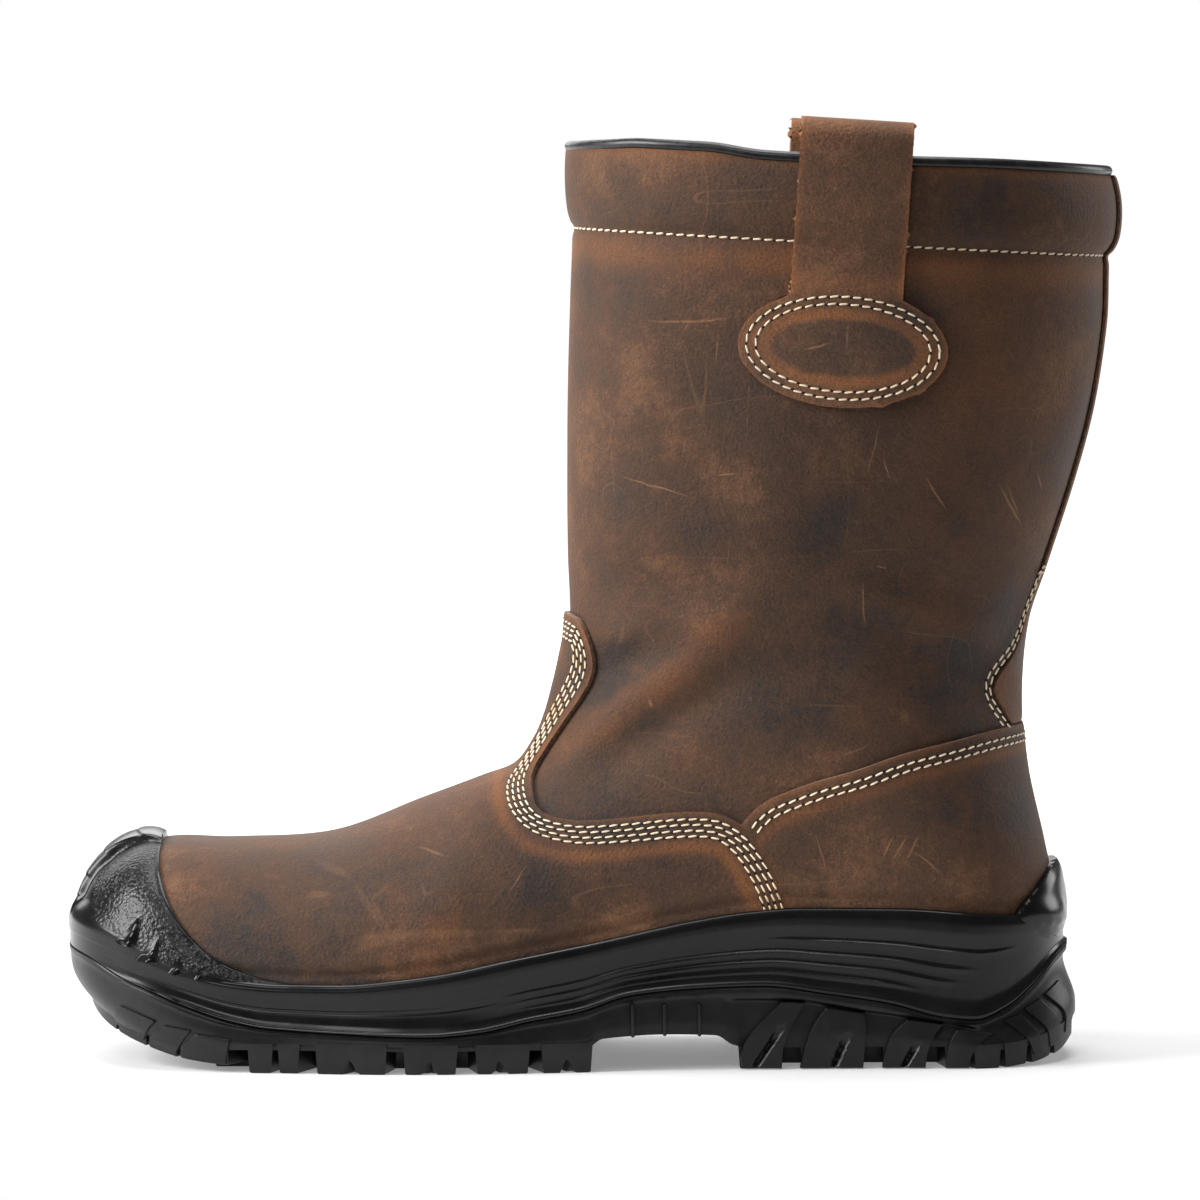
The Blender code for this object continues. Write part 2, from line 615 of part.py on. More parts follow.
def lug_cutters():
    """Gaps between the lugs and notches in their outer ends, on both sides."""
    pieces = []
    for side in (-1, 1):
        for gap in LUG_GAPS:
            length = GAP_OUTER_END - GAP_INNER_END
            size = (gap.width, length, gap.top - BELOW)
            middle = side * (GAP_INNER_END + length / 2.0) + swing(gap.x)
            turn = side * math.radians(gap.turn)
            lean = -math.sin(turn) * side * length / 2.0
            centre = (gap.x + lean * GAP_SHIFT, middle, (gap.top + BELOW) / 2.0)
            pieces.append(block("gap", size, centre, turn))
        for x in LUG_NOTCHES_X:
            half = NOTCH_WIDTH / 2.0
            outside = side * GAP_OUTER_END
            inside = side * (half_width(x, side) - NOTCH_DEPTH)
            notch = [(x - half, NOTCH_BOTTOM), (x + half, NOTCH_BOTTOM), (x, NOTCH_HEIGHT)]
            pieces.append(prism("notch", notch, min(inside, outside), max(inside, outside)))
    return join("lug_gaps", pieces)


def flute_cutters():
    """Slanting flutes that run up the side of the heel."""
    pieces = []
    for side in (-1, 1):
        for x in HEEL_FLUTES_X:
            top = parting(x) - FLUTE_HEADROOM
            half = FLUTE_WIDTH / 2.0
            leaning = [
                (x - half, FLUTE_BOTTOM), (x + half, FLUTE_BOTTOM),
                (x + half + FLUTE_LEAN, top), (x - half + FLUTE_LEAN, top),
            ]
            outside = side * GAP_OUTER_END
            inside = side * (half_width(x, side) - FLUTE_DEPTH)
            pieces.append(prism("flute", leaning, min(inside, outside), max(inside, outside)))
    return join("heel_flutes", pieces)


channel_length = CHANNEL_BACK - CHANNEL_FRONT
channel = block(
    "channel", (channel_length, CHANNEL_WIDTH, CHANNEL_TOP - BELOW),
    ((CHANNEL_BACK + CHANNEL_FRONT) / 2.0, 0.0, (CHANNEL_TOP + BELOW) / 2.0),
)
cut(outsole, lug_cutters(), "DIFFERENCE")
cut(outsole, channel, "DIFFERENCE")
cut(outsole, flute_cutters(), "DIFFERENCE")


# Guards: thicker walls outside the overlays, standing on the midsole's rim
GUARD_IN = OVERLAY_OUT + GAP


def toe_guard_out(row):
    """The toe guard is thickest at the tip."""
    return GUARD_IN + GUARD_AT_TIP + (GUARD - GUARD_AT_TIP) * ease(row, 0.0, GUARD_THICK_TO)


toe_end = TOE_GUARD_EDGE[-1].x
rim_front = [(row.x, rim(row.x) + GUARD_LIFT) for row in STATIONS if row.x < toe_end]
toe_side = [(-FAR, FAR), (TOE_GUARD_EDGE[0].x, FAR)] + line(TOE_GUARD_EDGE)
toe_side += [(toe_end, rim(toe_end) + GUARD_LIFT)] + rim_front[::-1] + [(-FAR, rim(SOLE_TOE) + GUARD_LIFT)]
toe_guard = shell("toe_guard", MOULDED, GUARD_IN, toe_guard_out, final=TOE_GUARD_BACK)
cut(toe_guard, prism("toe_side", toe_side), "INTERSECT")

heel_start = HEEL_GUARD_EDGE[0].x
rim_back = [(row.x, rim(row.x) + GUARD_LIFT) for row in STATIONS if row.x > heel_start]
heel_side = [(heel_start, rim(heel_start) + GUARD_LIFT)] + line(HEEL_GUARD_EDGE)
heel_side += [(FAR, HEEL_GUARD_EDGE[-1].z), (FAR, rim(SOLE_HEEL) + GUARD_LIFT)] + rim_back[::-1]
heel_guard = shell("heel_guard", MOULDED, GUARD_IN, GUARD_IN + GUARD, HEEL_GUARD_FRONT, HEEL_GUARD_TOP)
cut(heel_guard, prism("heel_side", heel_side), "INTERSECT")


# Collar piping and pull straps
def collar_piping():
    """A round binding that sits on the collar's edge."""
    curve = bpy.data.curves.new("collar_piping", "CURVE")
    curve.dimensions = "3D"
    curve.bevel_depth = PIPING_RADIUS * MM
    curve.bevel_resolution = 1
    spline = curve.splines.new("POLY")
    edge = surface(-WALL / 2.0)[-1]
    spline.points.add(len(edge) - 1)
    for target, point in zip(spline.points, edge):
        target.co = (*placed(point + Vector((0.0, 0.0, GAP + PIPING_RADIUS))), 1.0)
    spline.use_cyclic_u = True
    piping = bpy.data.objects.new("collar_piping", curve)
    curve.materials.append(BINDING)
    boot.objects.link(piping)


def wall_tree(offset):
    """A surface of the last to measure against."""
    bm = loft(surface(offset))
    tree = BVHTree.FromBMesh(bm)
    bm.free()
    return tree


OUTER_WALL = wall_tree(0.0)
INNER_WALL = wall_tree(-WALL)


def strap_path():
    """Rise along the strap, and how far across from the outer (0) to the inner (1) leaf it has got."""
    path = [(PATCH_HALF_HEIGHT * share, 0.0) for share in PATCH_ROWS]
    path += [(rise, 0.0) for rise in STRAP_ROWS]
    path += [(RIM_RISE, 0.0)]
    for step in range(LOOP_STEPS + 1):
        angle = math.pi * step / LOOP_STEPS
        path.append((LOOP_RISE + LOOP_HALF * math.sin(angle), (1.0 - math.cos(angle)) / 2.0))
    path += [(RIM_RISE, 1.0), (INNER_LEAF_END, 1.0)]
    return path


def strap_half(rise):
    """Half width of the strap: an oval patch at its foot, straight above."""
    oval = 1.0 - (rise / PATCH_HALF_HEIGHT) ** 2
    patch = PATCH_HALF_LENGTH * math.sqrt(max(oval, 0.0))
    return patch if rise < 0.0 else max(patch, STRAP_WIDTH / 2.0)


def pull_loop(name, side):
    """A strap sewn on outside by an oval patch, turned over the collar and down inside."""
    up = Vector((math.sin(STRAP_LEAN), 0.0, math.cos(STRAP_LEAN)))
    across = Vector((math.cos(STRAP_LEAN), 0.0, -math.sin(STRAP_LEAN)))
    path = strap_path()
    bm = bmesh.new()
    bmesh.ops.create_grid(bm, x_segments=STRAP_COLUMNS, y_segments=len(path) - 1, size=1.0)
    bm.verts.ensure_lookup_table()
    outward = Vector((0.0, side, 0.0))
    clear = STRAP_CLEARANCE + STRAP_LEATHER / 2.0
    for vert in bm.verts:
        column = vert.co.x
        rise, over = path[round((vert.co.y + 1.0) / 2.0 * (len(path) - 1))]
        spot = Vector((PATCH_X, 0.0, PATCH_Z)) + up * rise + across * column * strap_half(min(rise, RIM_RISE))
        level = spot - up * max(0.0, rise - WALL_RISE)
        outer = OUTER_WALL.ray_cast(level + outward * FAR, -outward)[0].y + side * clear
        inner = INNER_WALL.ray_cast(level, outward)[0].y - side * clear
        middle = (outer + inner) / 2.0
        spread = ease(rise, STRAP_ROWS[-2], LOOP_RISE)
        half = (abs(outer - inner) / 2.0) * (1.0 - spread) + LOOP_HALF * spread
        spot.y = middle + side * half * (1.0 - 2.0 * over)
        vert.co = spot
    piece = solid(name, bm, STRAP)
    thick = piece.modifiers.new("leather", "SOLIDIFY")
    thick.thickness = STRAP_LEATHER * MM
    thick.offset = 0.0
    thick.use_even_offset = True


collar_piping()
pull_loop("pull_loop_lateral", -1)
pull_loop("pull_loop_medial", 1)
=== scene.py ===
# %% [markdown]
# # Dressing a pull-on safety boot
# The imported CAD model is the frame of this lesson: a left boot of oiled brown leather on a black moulded
# sole, with its toe towards -X, its outer side towards -Y and the floor at z = 0. Every piece below is
# laid on the same last (the foot shape that a boot is built round) and the same sole outline that the CAD
# model was made from, only much finer, so each piece goes where the CAD says with no fitting.

# %% Load the frame
import math
from collections import namedtuple

import bmesh
import bpy
import numpy as np
from mathutils import Matrix, Vector
from mathutils.bvhtree import BVHTree
from mathutils.kdtree import KDTree


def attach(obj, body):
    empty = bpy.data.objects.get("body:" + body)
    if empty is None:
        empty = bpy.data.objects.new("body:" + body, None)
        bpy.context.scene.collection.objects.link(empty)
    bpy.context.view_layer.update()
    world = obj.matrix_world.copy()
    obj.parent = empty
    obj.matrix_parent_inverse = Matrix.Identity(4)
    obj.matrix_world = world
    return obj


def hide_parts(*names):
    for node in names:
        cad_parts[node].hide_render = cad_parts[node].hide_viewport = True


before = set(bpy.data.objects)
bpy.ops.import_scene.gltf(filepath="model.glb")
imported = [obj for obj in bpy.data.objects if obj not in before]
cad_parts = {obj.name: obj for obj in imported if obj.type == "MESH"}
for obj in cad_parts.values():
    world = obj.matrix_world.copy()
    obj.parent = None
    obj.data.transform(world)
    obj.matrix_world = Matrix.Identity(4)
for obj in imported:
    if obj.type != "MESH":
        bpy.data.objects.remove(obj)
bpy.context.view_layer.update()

# %% [markdown]
# The camera comes first, because everything is judged through it. The photograph was taken from about
# 2.2 m away with a long lens, a little above the boot and almost level, so the near and the far side of
# the sole almost line up. A long lens keeps the boot's proportions free of perspective stretch.

# %% Camera
MM = 0.001
MIDDLE_X = 6.15           # the boot's middle, in mm behind the middle of the sole's length
CAMERA_AT = Vector((0.00215, -2.2, 0.272))
CAMERA_PITCH = math.radians(3.49)
LENS = 217.87

lens = bpy.data.cameras.new("photo_view")
lens.lens = LENS
lens.sensor_width = 36.0
lens.clip_end = 20.0
camera = bpy.data.objects.new("photo_view", lens)
camera.location = CAMERA_AT
camera.rotation_euler = (math.pi / 2.0 - CAMERA_PITCH, 0.0, 0.0)
bpy.context.scene.collection.objects.link(camera)
bpy.context.scene.camera = camera
print("camera at", tuple(round(v, 3) for v in camera.location), "lens", LENS)

# %% [markdown]
# A studio sweep is a white floor, a white surround and a few large soft lamps. The lamps stand left, right
# and above: their long reflections draw the rounded lip of the sole and the bright rim that the leather
# shows along both outlines. A single lamp would be simpler, but it would leave the black sole a flat shape.
# The surround is white to the eye only; it lights the boot weakly, so black stays black.

# %% Floor, surround and lamps
FLOOR_SIZE, FLOOR_FRONT = 12.0, -0.26     # the floor ends in front, so the sole mirrors a dark room there
SURROUND_GLOW = 0.13
Lamp = namedtuple("Lamp", "name place size power")
LAMPS = [
    Lamp("left_softbox", (-1.35, -0.40, 0.75), 0.9, 41.0),
    Lamp("right_softbox", (1.40, 0.75, 0.60), 0.7, 7.0),
    Lamp("front_softbox", (-0.60, -2.20, 1.90), 0.8, 13.0),
    Lamp("top_softbox", (0.0, 0.10, 1.80), 1.1, 30.0),
    Lamp("back_softbox", (-0.40, 1.60, 1.00), 1.4, 14.0),
]
AIM = Vector((0.0, 0.0, 0.12))

bpy.context.scene.view_settings.view_transform = "Standard"
for lamp in LAMPS:
    light = bpy.data.lights.new(lamp.name, "AREA")
    light.shape = "SQUARE"
    light.size = lamp.size
    light.energy = lamp.power
    holder = bpy.data.objects.new(lamp.name, light)
    holder.location = lamp.place
    holder.rotation_euler = (AIM - Vector(lamp.place)).to_track_quat("-Z", "Y").to_euler()
    bpy.context.scene.collection.objects.link(holder)

world = bpy.data.worlds.new("white_surround")
world.use_nodes = True
seen = world.node_tree.nodes.new("ShaderNodeLightPath").outputs["Is Camera Ray"]
strength = world.node_tree.nodes.new("ShaderNodeMapRange")
strength.inputs["To Min"].default_value = SURROUND_GLOW
world.node_tree.links.new(seen, strength.inputs["Value"])
surround = world.node_tree.nodes["Background"]
surround.inputs["Color"].default_value = (1.0, 1.0, 1.0, 1.0)
world.node_tree.links.new(strength.outputs["Result"], surround.inputs["Strength"])
bpy.context.scene.world = world

floor_bm = bmesh.new()
bmesh.ops.create_grid(floor_bm, x_segments=1, y_segments=1, size=FLOOR_SIZE / 2.0)
bmesh.ops.translate(floor_bm, verts=floor_bm.verts, vec=(0.0, FLOOR_FRONT + FLOOR_SIZE / 2.0, 0.0))
floor_mesh = bpy.data.meshes.new("floor")
floor_bm.to_mesh(floor_mesh)
floor_bm.free()
floor = bpy.data.objects.new("floor", floor_mesh)
bpy.context.scene.collection.objects.link(floor)
print(len(LAMPS), "lamps and a floor", FLOOR_SIZE, "m wide")

# %% [markdown]
# Finishes are node trees. These small helpers put a node into a tree, wire a socket or set a number, so
# that each finish below reads like a recipe: what is mixed with what, and by how much.

# %% Helpers for finishes
def put(tree, kind, inputs=None, **settings):
    """Add a node, set its options, and wire or set its inputs."""
    node = tree.nodes.new("ShaderNode" + kind)
    for key, value in settings.items():
        setattr(node, key, value)
    for key, value in (inputs or {}).items():
        if isinstance(value, bpy.types.NodeSocket):
            tree.links.new(value, node.inputs[key])
        else:
            node.inputs[key].default_value = value
    return node


def combine(tree, operation, first, second):
    """A Math node on two sockets or numbers."""
    return put(tree, "Math", {0: first, 1: second}, operation=operation).outputs[0]


def between(tree, share, first, second):
    """Mix two colours, given as sockets or as linear RGB."""
    colours = [c if isinstance(c, bpy.types.NodeSocket) else (*c, 1.0) for c in (first, second)]
    return put(tree, "Mix", {0: share, 6: colours[0], 7: colours[1]}, data_type="RGBA").outputs[2]


def span(tree, value, low, high, to_low=0.0, to_high=1.0):
    """Stretch the range from low to high onto another range, softly clamped."""
    inputs = {0: value, 1: low, 2: high, 3: to_low, 4: to_high}
    return put(tree, "MapRange", inputs, interpolation_type="SMOOTHSTEP").outputs[0]


def clouds(tree, where, scale, detail=4.0, roughness=0.6, distortion=0.0):
    """A Noise texture on a coordinate."""
    inputs = {"Vector": where, "Scale": scale, "Detail": detail, "Roughness": roughness}
    return put(tree, "TexNoise", {**inputs, "Distortion": distortion}).outputs["Fac"]


def tagged(tree, name):
    """The number that a piece carries at each of its points, such as how worn it is."""
    return put(tree, "Attribute", attribute_name=name).outputs["Fac"]


def new_finish(name):
    """A material with its tree, its shader and its Object coordinate."""
    material = bpy.data.materials.new(name)
    material.use_nodes = True
    tree = material.node_tree
    shader = tree.nodes["Principled BSDF"]
    return material, tree, shader, put(tree, "TexCoord").outputs["Object"]


def set_shader(shader, **values):
    """Set numbers on the shader's own sockets."""
    for key, value in values.items():
        shader.inputs[key.replace("_", " ").title().replace("Ior", "IOR")].default_value = value


def dress(tree, shader, colour, height, strength, distance, invert=False, **values):
    """Wire a colour and a bump into a shader, and set its other sockets."""
    tree.links.new(colour, shader.inputs["Base Color"])
    inputs = {"Height": height, "Strength": strength, "Distance": distance}
    tree.links.new(put(tree, "Bump", inputs, invert=invert).outputs[0], shader.inputs["Normal"])
    set_shader(shader, **values)


def two_tone(name, noise, deep, pale, bump, gloss=None, **values):
    """Fine clouds (scale, detail, roughness) that give two tones, the bump and perhaps the gloss."""
    material, tree, shader, where = new_finish(name)
    fine = clouds(tree, where, *noise)
    dress(tree, shader, between(tree, span(tree, fine, 0.3, 0.7), deep, pale), fine, *bump, **values)
    if gloss:
        tree.links.new(span(tree, fine, 0.2, 0.8, *gloss), shader.inputs["Roughness"])
    return material


print("helpers for finishes ready")

# %% Floor finish
PAPER_WHITE, PAPER_PALE, FLOOR_GLOW, FULL_GLOW = ((v, v, v) for v in (0.62, 0.64, 0.24, 1.0))
GLOW_FROM, GLOW_TO = 0.4, 1.6     # in metres: from here to there the floor turns as white as the surround

white_floor, tree, shader, where = new_finish("white_floor")
grey = between(tree, clouds(tree, where, 3.0), PAPER_WHITE, PAPER_PALE)
tree.links.new(grey, shader.inputs["Base Color"])
far = put(tree, "VectorMath", {0: where}, operation="LENGTH").outputs["Value"]
glow = between(tree, span(tree, far, GLOW_FROM, GLOW_TO), FLOOR_GLOW, FULL_GLOW)
tree.links.new(glow, shader.inputs["Emission Color"])
set_shader(shader, roughness=0.6, emission_strength=1.0)
floor.data.materials.append(white_floor)
print("floor finish", white_floor.name)

# %% [markdown]
# ## The last
# A boot is lasted: its leather is pulled over a foot-shaped block. Here the last is a table of sections
# that fan from upright at the toe to level at the collar. A mesh could be sculpted to the same shape, but
# a function of two numbers, the row along the table and the turn round the section, lets every panel,
# seam and stitch find its place exactly on the same surface.

# %% The last's table
Section = namedtuple(
    "Section", "place back_x back_z front_x front_z lateral medial belly back_square front_square"
)
LAST = [
    Section("toe tip", -144.0, 38.0, -144.0, 38.0, 0.0, 0.0, 0.40, 3.0, 2.4),
    Section("toe nose", -142.8, 31.5, -142.3, 46.5, 19.0, 19.0, 0.40, 3.0, 2.4),
    Section("toe front", -139.0, 26.8, -138.0, 54.8, 30.5, 29.5, 0.38, 4.0, 2.4),
    Section("toe top", -132.0, 23.2, -130.8, 61.0, 39.0, 37.5, 0.36, 5.0, 2.4),
    Section("toe back", -121.0, 20.2, -120.0, 63.3, 44.5, 42.5, 0.34, 6.0, 2.3),
    Section("vamp", -103.0, 17.6, -102.0, 63.2, 48.0, 46.2, 0.33, 6.0, 2.2),
    Section("ball", -75.0, 15.8, -72.0, 65.6, 50.5, 47.4, 0.33, 6.0, 2.1),
    Section("ball back", -48.0, 15.8, -45.0, 75.7, 51.4, 45.8, 0.33, 6.0, 2.0),
    Section("waist", -15.0, 18.5, -27.0, 82.6, 49.0, 41.5, 0.33, 6.0, 1.95),
    Section("instep", 22.0, 23.0, -16.5, 86.9, 44.6, 38.0, 0.34, 6.0, 1.95),
    Section("throat", 70.0, 27.5, -10.3, 95.0, 40.5, 36.5, 0.36, 5.0, 1.95),
    Section("heel girth", 118.0, 29.5, -6.8, 103.0, 38.6, 36.8, 0.40, 4.0, 2.0),
    Section("heel seat", 141.5, 36.5, -4.2, 112.0, 38.8, 38.0, 0.45, 3.2, 2.0),
    Section("heel back", 144.5, 48.0, -2.3, 120.0, 39.6, 39.2, 0.47, 2.8, 2.0),
    Section("counter", 141.5, 65.0, -0.7, 129.0, 41.2, 41.2, 0.48, 2.5, 2.05),
    Section("ankle low", 136.4, 88.0, -0.9, 140.0, 42.6, 42.6, 0.49, 2.3, 2.1),
    Section("ankle", 134.7, 110.0, -1.5, 151.0, 43.6, 43.6, 0.50, 2.2, 2.15),
    Section("ankle high", 136.7, 131.7, -1.8, 165.0, 45.2, 45.2, 0.50, 2.2, 2.2),
    Section("shaft low", 142.7, 150.0, -1.8, 178.0, 47.6, 47.6, 0.50, 2.2, 2.2),
    Section("shaft", 150.2, 174.0, -1.6, 195.0, 50.6, 50.6, 0.50, 2.2, 2.2),
    Section("shaft mid", 156.5, 198.0, -1.2, 214.0, 53.2, 53.2, 0.50, 2.2, 2.2),
    Section("shaft high", 160.2, 222.0, -0.8, 232.0, 55.0, 55.0, 0.50, 2.2, 2.2),
    Section("cuff seam", 160.8, 240.5, -0.4, 249.0, 55.2, 55.2, 0.50, 2.2, 2.2),
    Section("cuff low", 163.2, 248.5, -1.4, 257.0, 56.8, 56.8, 0.50, 2.2, 2.2),
    Section("cuff", 163.6, 258.0, -1.9, 266.0, 57.2, 57.2, 0.50, 2.2, 2.2),
    Section("collar", 162.4, 266.3, -2.0, 274.8, 56.7, 56.7, 0.50, 2.2, 2.2),
]
LAST_COLUMNS = np.array([row[1:] for row in LAST])
TOP_ROW = len(LAST) - 1.0
TIP_ROWS = 0.6            # all rows nearer the toe's tip than this turn to face forwards
TOE_SWING, SWING_START, SWING_POWER, SOLE_TOE = 6.0, -50.0, 1.4, -153.0


def swing(x):
    """Sideways turn of the forefoot, towards the inner side."""
    return TOE_SWING * np.clip((SWING_START - x) / (SWING_START - SOLE_TOE), 0.0, None) ** SWING_POWER


def section(row):
    """The table's columns, read smoothly at row numbers between its rows."""
    first = np.clip(row.astype(int), 0, len(LAST) - 2)
    part = (row - first)[:, None]
    a, b, c, d = (LAST_COLUMNS[np.clip(first + k, 0, len(LAST) - 1)] for k in (-1, 0, 1, 2))
    curve = 2.0 * b + (c - a) * part + (2.0 * a - 5.0 * b + 4.0 * c - d) * part ** 2
    return (curve + (3.0 * b - a - 3.0 * c + d) * part ** 3) / 2.0


def last_point(row, turn):
    """Places on the last, in mm: turn is 0 at the back or sole, 0.25 outside, 0.5 in front, 0.75 inside."""
    back_x, back_z, front_x, front_z, lateral, medial, belly, back_square, front_square = section(row).T
    ahead, aside = np.cos(2.0 * np.pi * turn), np.sin(2.0 * np.pi * turn)
    power = np.where(ahead > 0.0, back_square, front_square)
    reach = (np.abs(ahead) ** power + np.abs(aside) ** power) ** (-1.0 / power)
    depth = belly - ahead * reach * np.where(ahead > 0.0, belly, 1.0 - belly)
    x = back_x + (front_x - back_x) * depth
    z = back_z + (front_z - back_z) * depth
    y = swing(x) - aside * reach * np.where(aside > 0.0, lateral, medial)
    return np.stack([x, y, z], axis=1)


def last_normal(row, turn, row_step=0.03, turn_step=0.003, pole=0.06):
    """Outward directions on the last."""
    low, high = np.maximum(row - row_step, 0.0), np.minimum(row + row_step, TOP_ROW)
    along = last_point(high, turn) - last_point(low, turn)
    clear = np.maximum(row, pole)
    around = last_point(clear, turn + turn_step) - last_point(clear, turn - turn_step)
    normal = np.cross(along, around)
    normal /= np.maximum(np.linalg.norm(normal, axis=1, keepdims=True), 1e-9)
    tip = np.clip(1.0 - row / TIP_ROWS, 0.0, 1.0)[:, None]
    normal = normal * (1.0 - tip) + np.array([-1.0, 0.0, 0.0]) * tip
    return normal / np.linalg.norm(normal, axis=1, keepdims=True)


def lengths(path):
    """The length walked along a path up to each of its points."""
    return np.concatenate([[0.0], np.cumsum(np.linalg.norm(np.diff(path, axis=0), axis=1))])


WALK_STEPS = 600


def rows_between(first, final, count, turn=0.27):
    """Row numbers that step evenly along the surface."""
    fine = np.linspace(first, final, WALK_STEPS)
    length = lengths(last_point(fine, np.full(WALK_STEPS, turn)))
    return np.interp(np.linspace(0.0, length[-1], count + 1), length, fine)


BALL_ROW = 6.0
ball_girth = last_point(np.full(WALK_STEPS, BALL_ROW), np.linspace(0.0, 1.0, WALK_STEPS))
print("girth at the ball", round(lengths(ball_girth)[-1]), "mm")

# %% [markdown]
# Boots are never as smooth as their last. The oiled leather has slack at the ankle, where the shaft bends,
# and a few soft hollows up the shaft. Each fold below is one trough (negative) or ridge, in the
# boot's own millimetres, that fades out along and across its length. Noise alone would look like a dented
# can; folds follow how a boot really bends.

# %% Soft folds of the leather
Fold = namedtuple("Fold", "x z length angle width depth")
OUTER_FOLDS = [
    Fold(20.0, 110.0, 66.0, 37.0, 6.0, 1.0),
    Fold(27.0, 101.0, 60.0, 35.0, 6.0, -1.1),
    Fold(15.0, 121.0, 44.0, 33.0, 6.5, -1.2),
    Fold(30.0, 131.0, 46.0, 12.0, 6.0, 0.7),
    Fold(22.0, 143.0, 52.0, 6.0, 9.0, -0.8),
    Fold(62.0, 118.0, 52.0, 24.0, 9.0, -0.7),
    Fold(112.0, 122.0, 52.0, -28.0, 8.0, -1.1),
    Fold(104.0, 135.0, 52.0, -24.0, 7.0, 0.7),
    Fold(98.0, 149.0, 64.0, -18.0, 9.0, -0.8),
    Fold(40.0, 190.0, 90.0, 78.0, 17.0, -0.7),
    Fold(118.0, 190.0, 90.0, 82.0, 18.0, 0.7),
    Fold(-48.0, 58.0, 40.0, 62.0, 9.0, -0.5),
    Fold(-32.0, 62.0, 40.0, 58.0, 8.0, 0.4),
]
INNER_FOLDS = [
    Fold(16.0, 112.0, 60.0, 32.0, 6.0, -1.1),
    Fold(24.0, 103.0, 60.0, 34.0, 6.0, 0.8),
    Fold(26.0, 128.0, 50.0, 15.0, 7.0, -0.9),
    Fold(110.0, 128.0, 54.0, -25.0, 8.0, -1.0),
    Fold(100.0, 142.0, 54.0, -20.0, 7.0, 0.7),
    Fold(70.0, 185.0, 90.0, 80.0, 18.0, -0.7),
    Fold(-44.0, 60.0, 40.0, 60.0, 9.0, -0.5),
]
FOLD_GAIN = 1.35
RIPPLE, RIPPLE_ALONG, RIPPLE_LEAN, RIPPLE_UP = 0.25, 19.0, 31.0, 23.0
ROLL, ROLL_AT, ROLL_WIDE = 0.3, 5.5, 1.8           # the leather rolls out over the sole's rim
PINCH, PINCH_AT, PINCH_WIDE = 0.45, 2.4, 1.3       # and is pulled in where it meets the rim
SIDE_FROM, SIDE_WITHIN = 4.0, 16.0                 # off the middle, a side's folds grow within this width
RIM = [
    (-153.0, 42.0), (-140.0, 38.5), (-128.0, 34.5), (-115.0, 30.5), (-100.0, 27.6), (-85.0, 26.6),
    (-69.0, 26.7), (-51.0, 28.3), (-36.0, 30.4), (-21.5, 33.4), (8.0, 39.0), (38.0, 45.2), (53.0, 47.4),
    (68.0, 48.4), (98.0, 48.1), (128.0, 45.8), (150.0, 44.6),
]


def glide(table, x, value=1):
    """Read a table with a smooth curve that never swings past its rows."""
    xs, ys = np.array([row[0] for row in table]), np.array([row[value] for row in table])
    gaps = np.diff(xs)
    slopes = np.diff(ys) / gaps
    product, total = slopes[:-1] * slopes[1:], slopes[:-1] + slopes[1:]
    inner = np.where(product > 0.0, 2.0 * product / np.where(product > 0.0, total, 1.0), 0.0)
    tangents = np.concatenate([slopes[:1], inner, slopes[-1:]])
    k = np.clip(np.searchsorted(xs, x) - 1, 0, len(gaps) - 1)
    t = np.clip((x - xs[k]) / gaps[k], 0.0, 1.0)
    ends = (1.0 + 2.0 * t) * (1.0 - t) ** 2 * ys[k] + t * t * (3.0 - 2.0 * t) * ys[k + 1]
    return ends + t * (1.0 - t) * gaps[k] * ((1.0 - t) * tangents[k] - t * tangents[k + 1])


def ease(x, begin, end):
    """0 before begin, 1 after end, and smooth between."""
    share = np.clip((x - begin) / (end - begin), 0.0, 1.0)
    return share * share * (3.0 - 2.0 * share)


def hump(x, middle, width):
    """A soft bump: 1 in the middle, almost 0 at twice the width."""
    return np.exp(-((x - middle) / width) ** 2)


def bends(places):
    """How far the leather stands out (or in) at places on the last, in mm."""
    x, y, z = places.T
    total = RIPPLE * np.sin(x / RIPPLE_ALONG + z / RIPPLE_LEAN) * np.sin(z / RIPPLE_UP)
    over_rim = z - glide(RIM, x)
    total += ROLL * hump(over_rim, ROLL_AT, ROLL_WIDE) - PINCH * hump(over_rim, PINCH_AT, PINCH_WIDE)
    for side, folds in ((-1.0, OUTER_FOLDS), (1.0, INNER_FOLDS)):
        onto = np.clip((side * y - SIDE_FROM) / SIDE_WITHIN, 0.0, 1.0)
        for fold in folds:
            dx, dz = x - fold.x, z - fold.z
            cosine, sine = math.cos(math.radians(fold.angle)), math.sin(math.radians(fold.angle))
            along = (dx * cosine + dz * sine) / (fold.length / 2.0)
            across = (dz * cosine - dx * sine) / fold.width
            total += FOLD_GAIN * fold.depth * onto * np.exp(-across ** 2 - along ** 4)
    return total


print(len(OUTER_FOLDS) + len(INNER_FOLDS), "folds")

# %% [markdown]
# A few helpers lay fine grids on surfaces and hand the finished piece to the frame. A piece rides on the
# boot's only body and hides the CAD solid that it stands for.

# %% Helpers for pieces
def placed(places):
    """Millimetres from the middle of the sole, as metres from the middle of the boot."""
    return (places - np.array([MIDDLE_X, 0.0, 0.0])) * MM


def lay(bm, places):
    """Move a bmesh's points to places in mm."""
    for vert, place in zip(bm.verts, placed(places).tolist()):
        vert.co = place


def grid(columns, rows):
    """A fine bmesh grid with the column and row number of each point."""
    bm = bmesh.new()
    bmesh.ops.create_grid(bm, x_segments=columns, y_segments=rows, size=1.0)
    spots = np.array([vert.co[:2] for vert in bm.verts])
    numbers = np.rint((spots + 1.0) / 2.0 * np.array([columns, rows])).astype(int)
    return bm, numbers[:, 0], numbers[:, 1]


def tag(bm, name, values):
    """Give each point of a bmesh a number that a finish can read."""
    layer = bm.verts.layers.float.get(name) or bm.verts.layers.float.new(name)
    for vert, value in zip(bm.verts, values.tolist()):
        vert[layer] = value


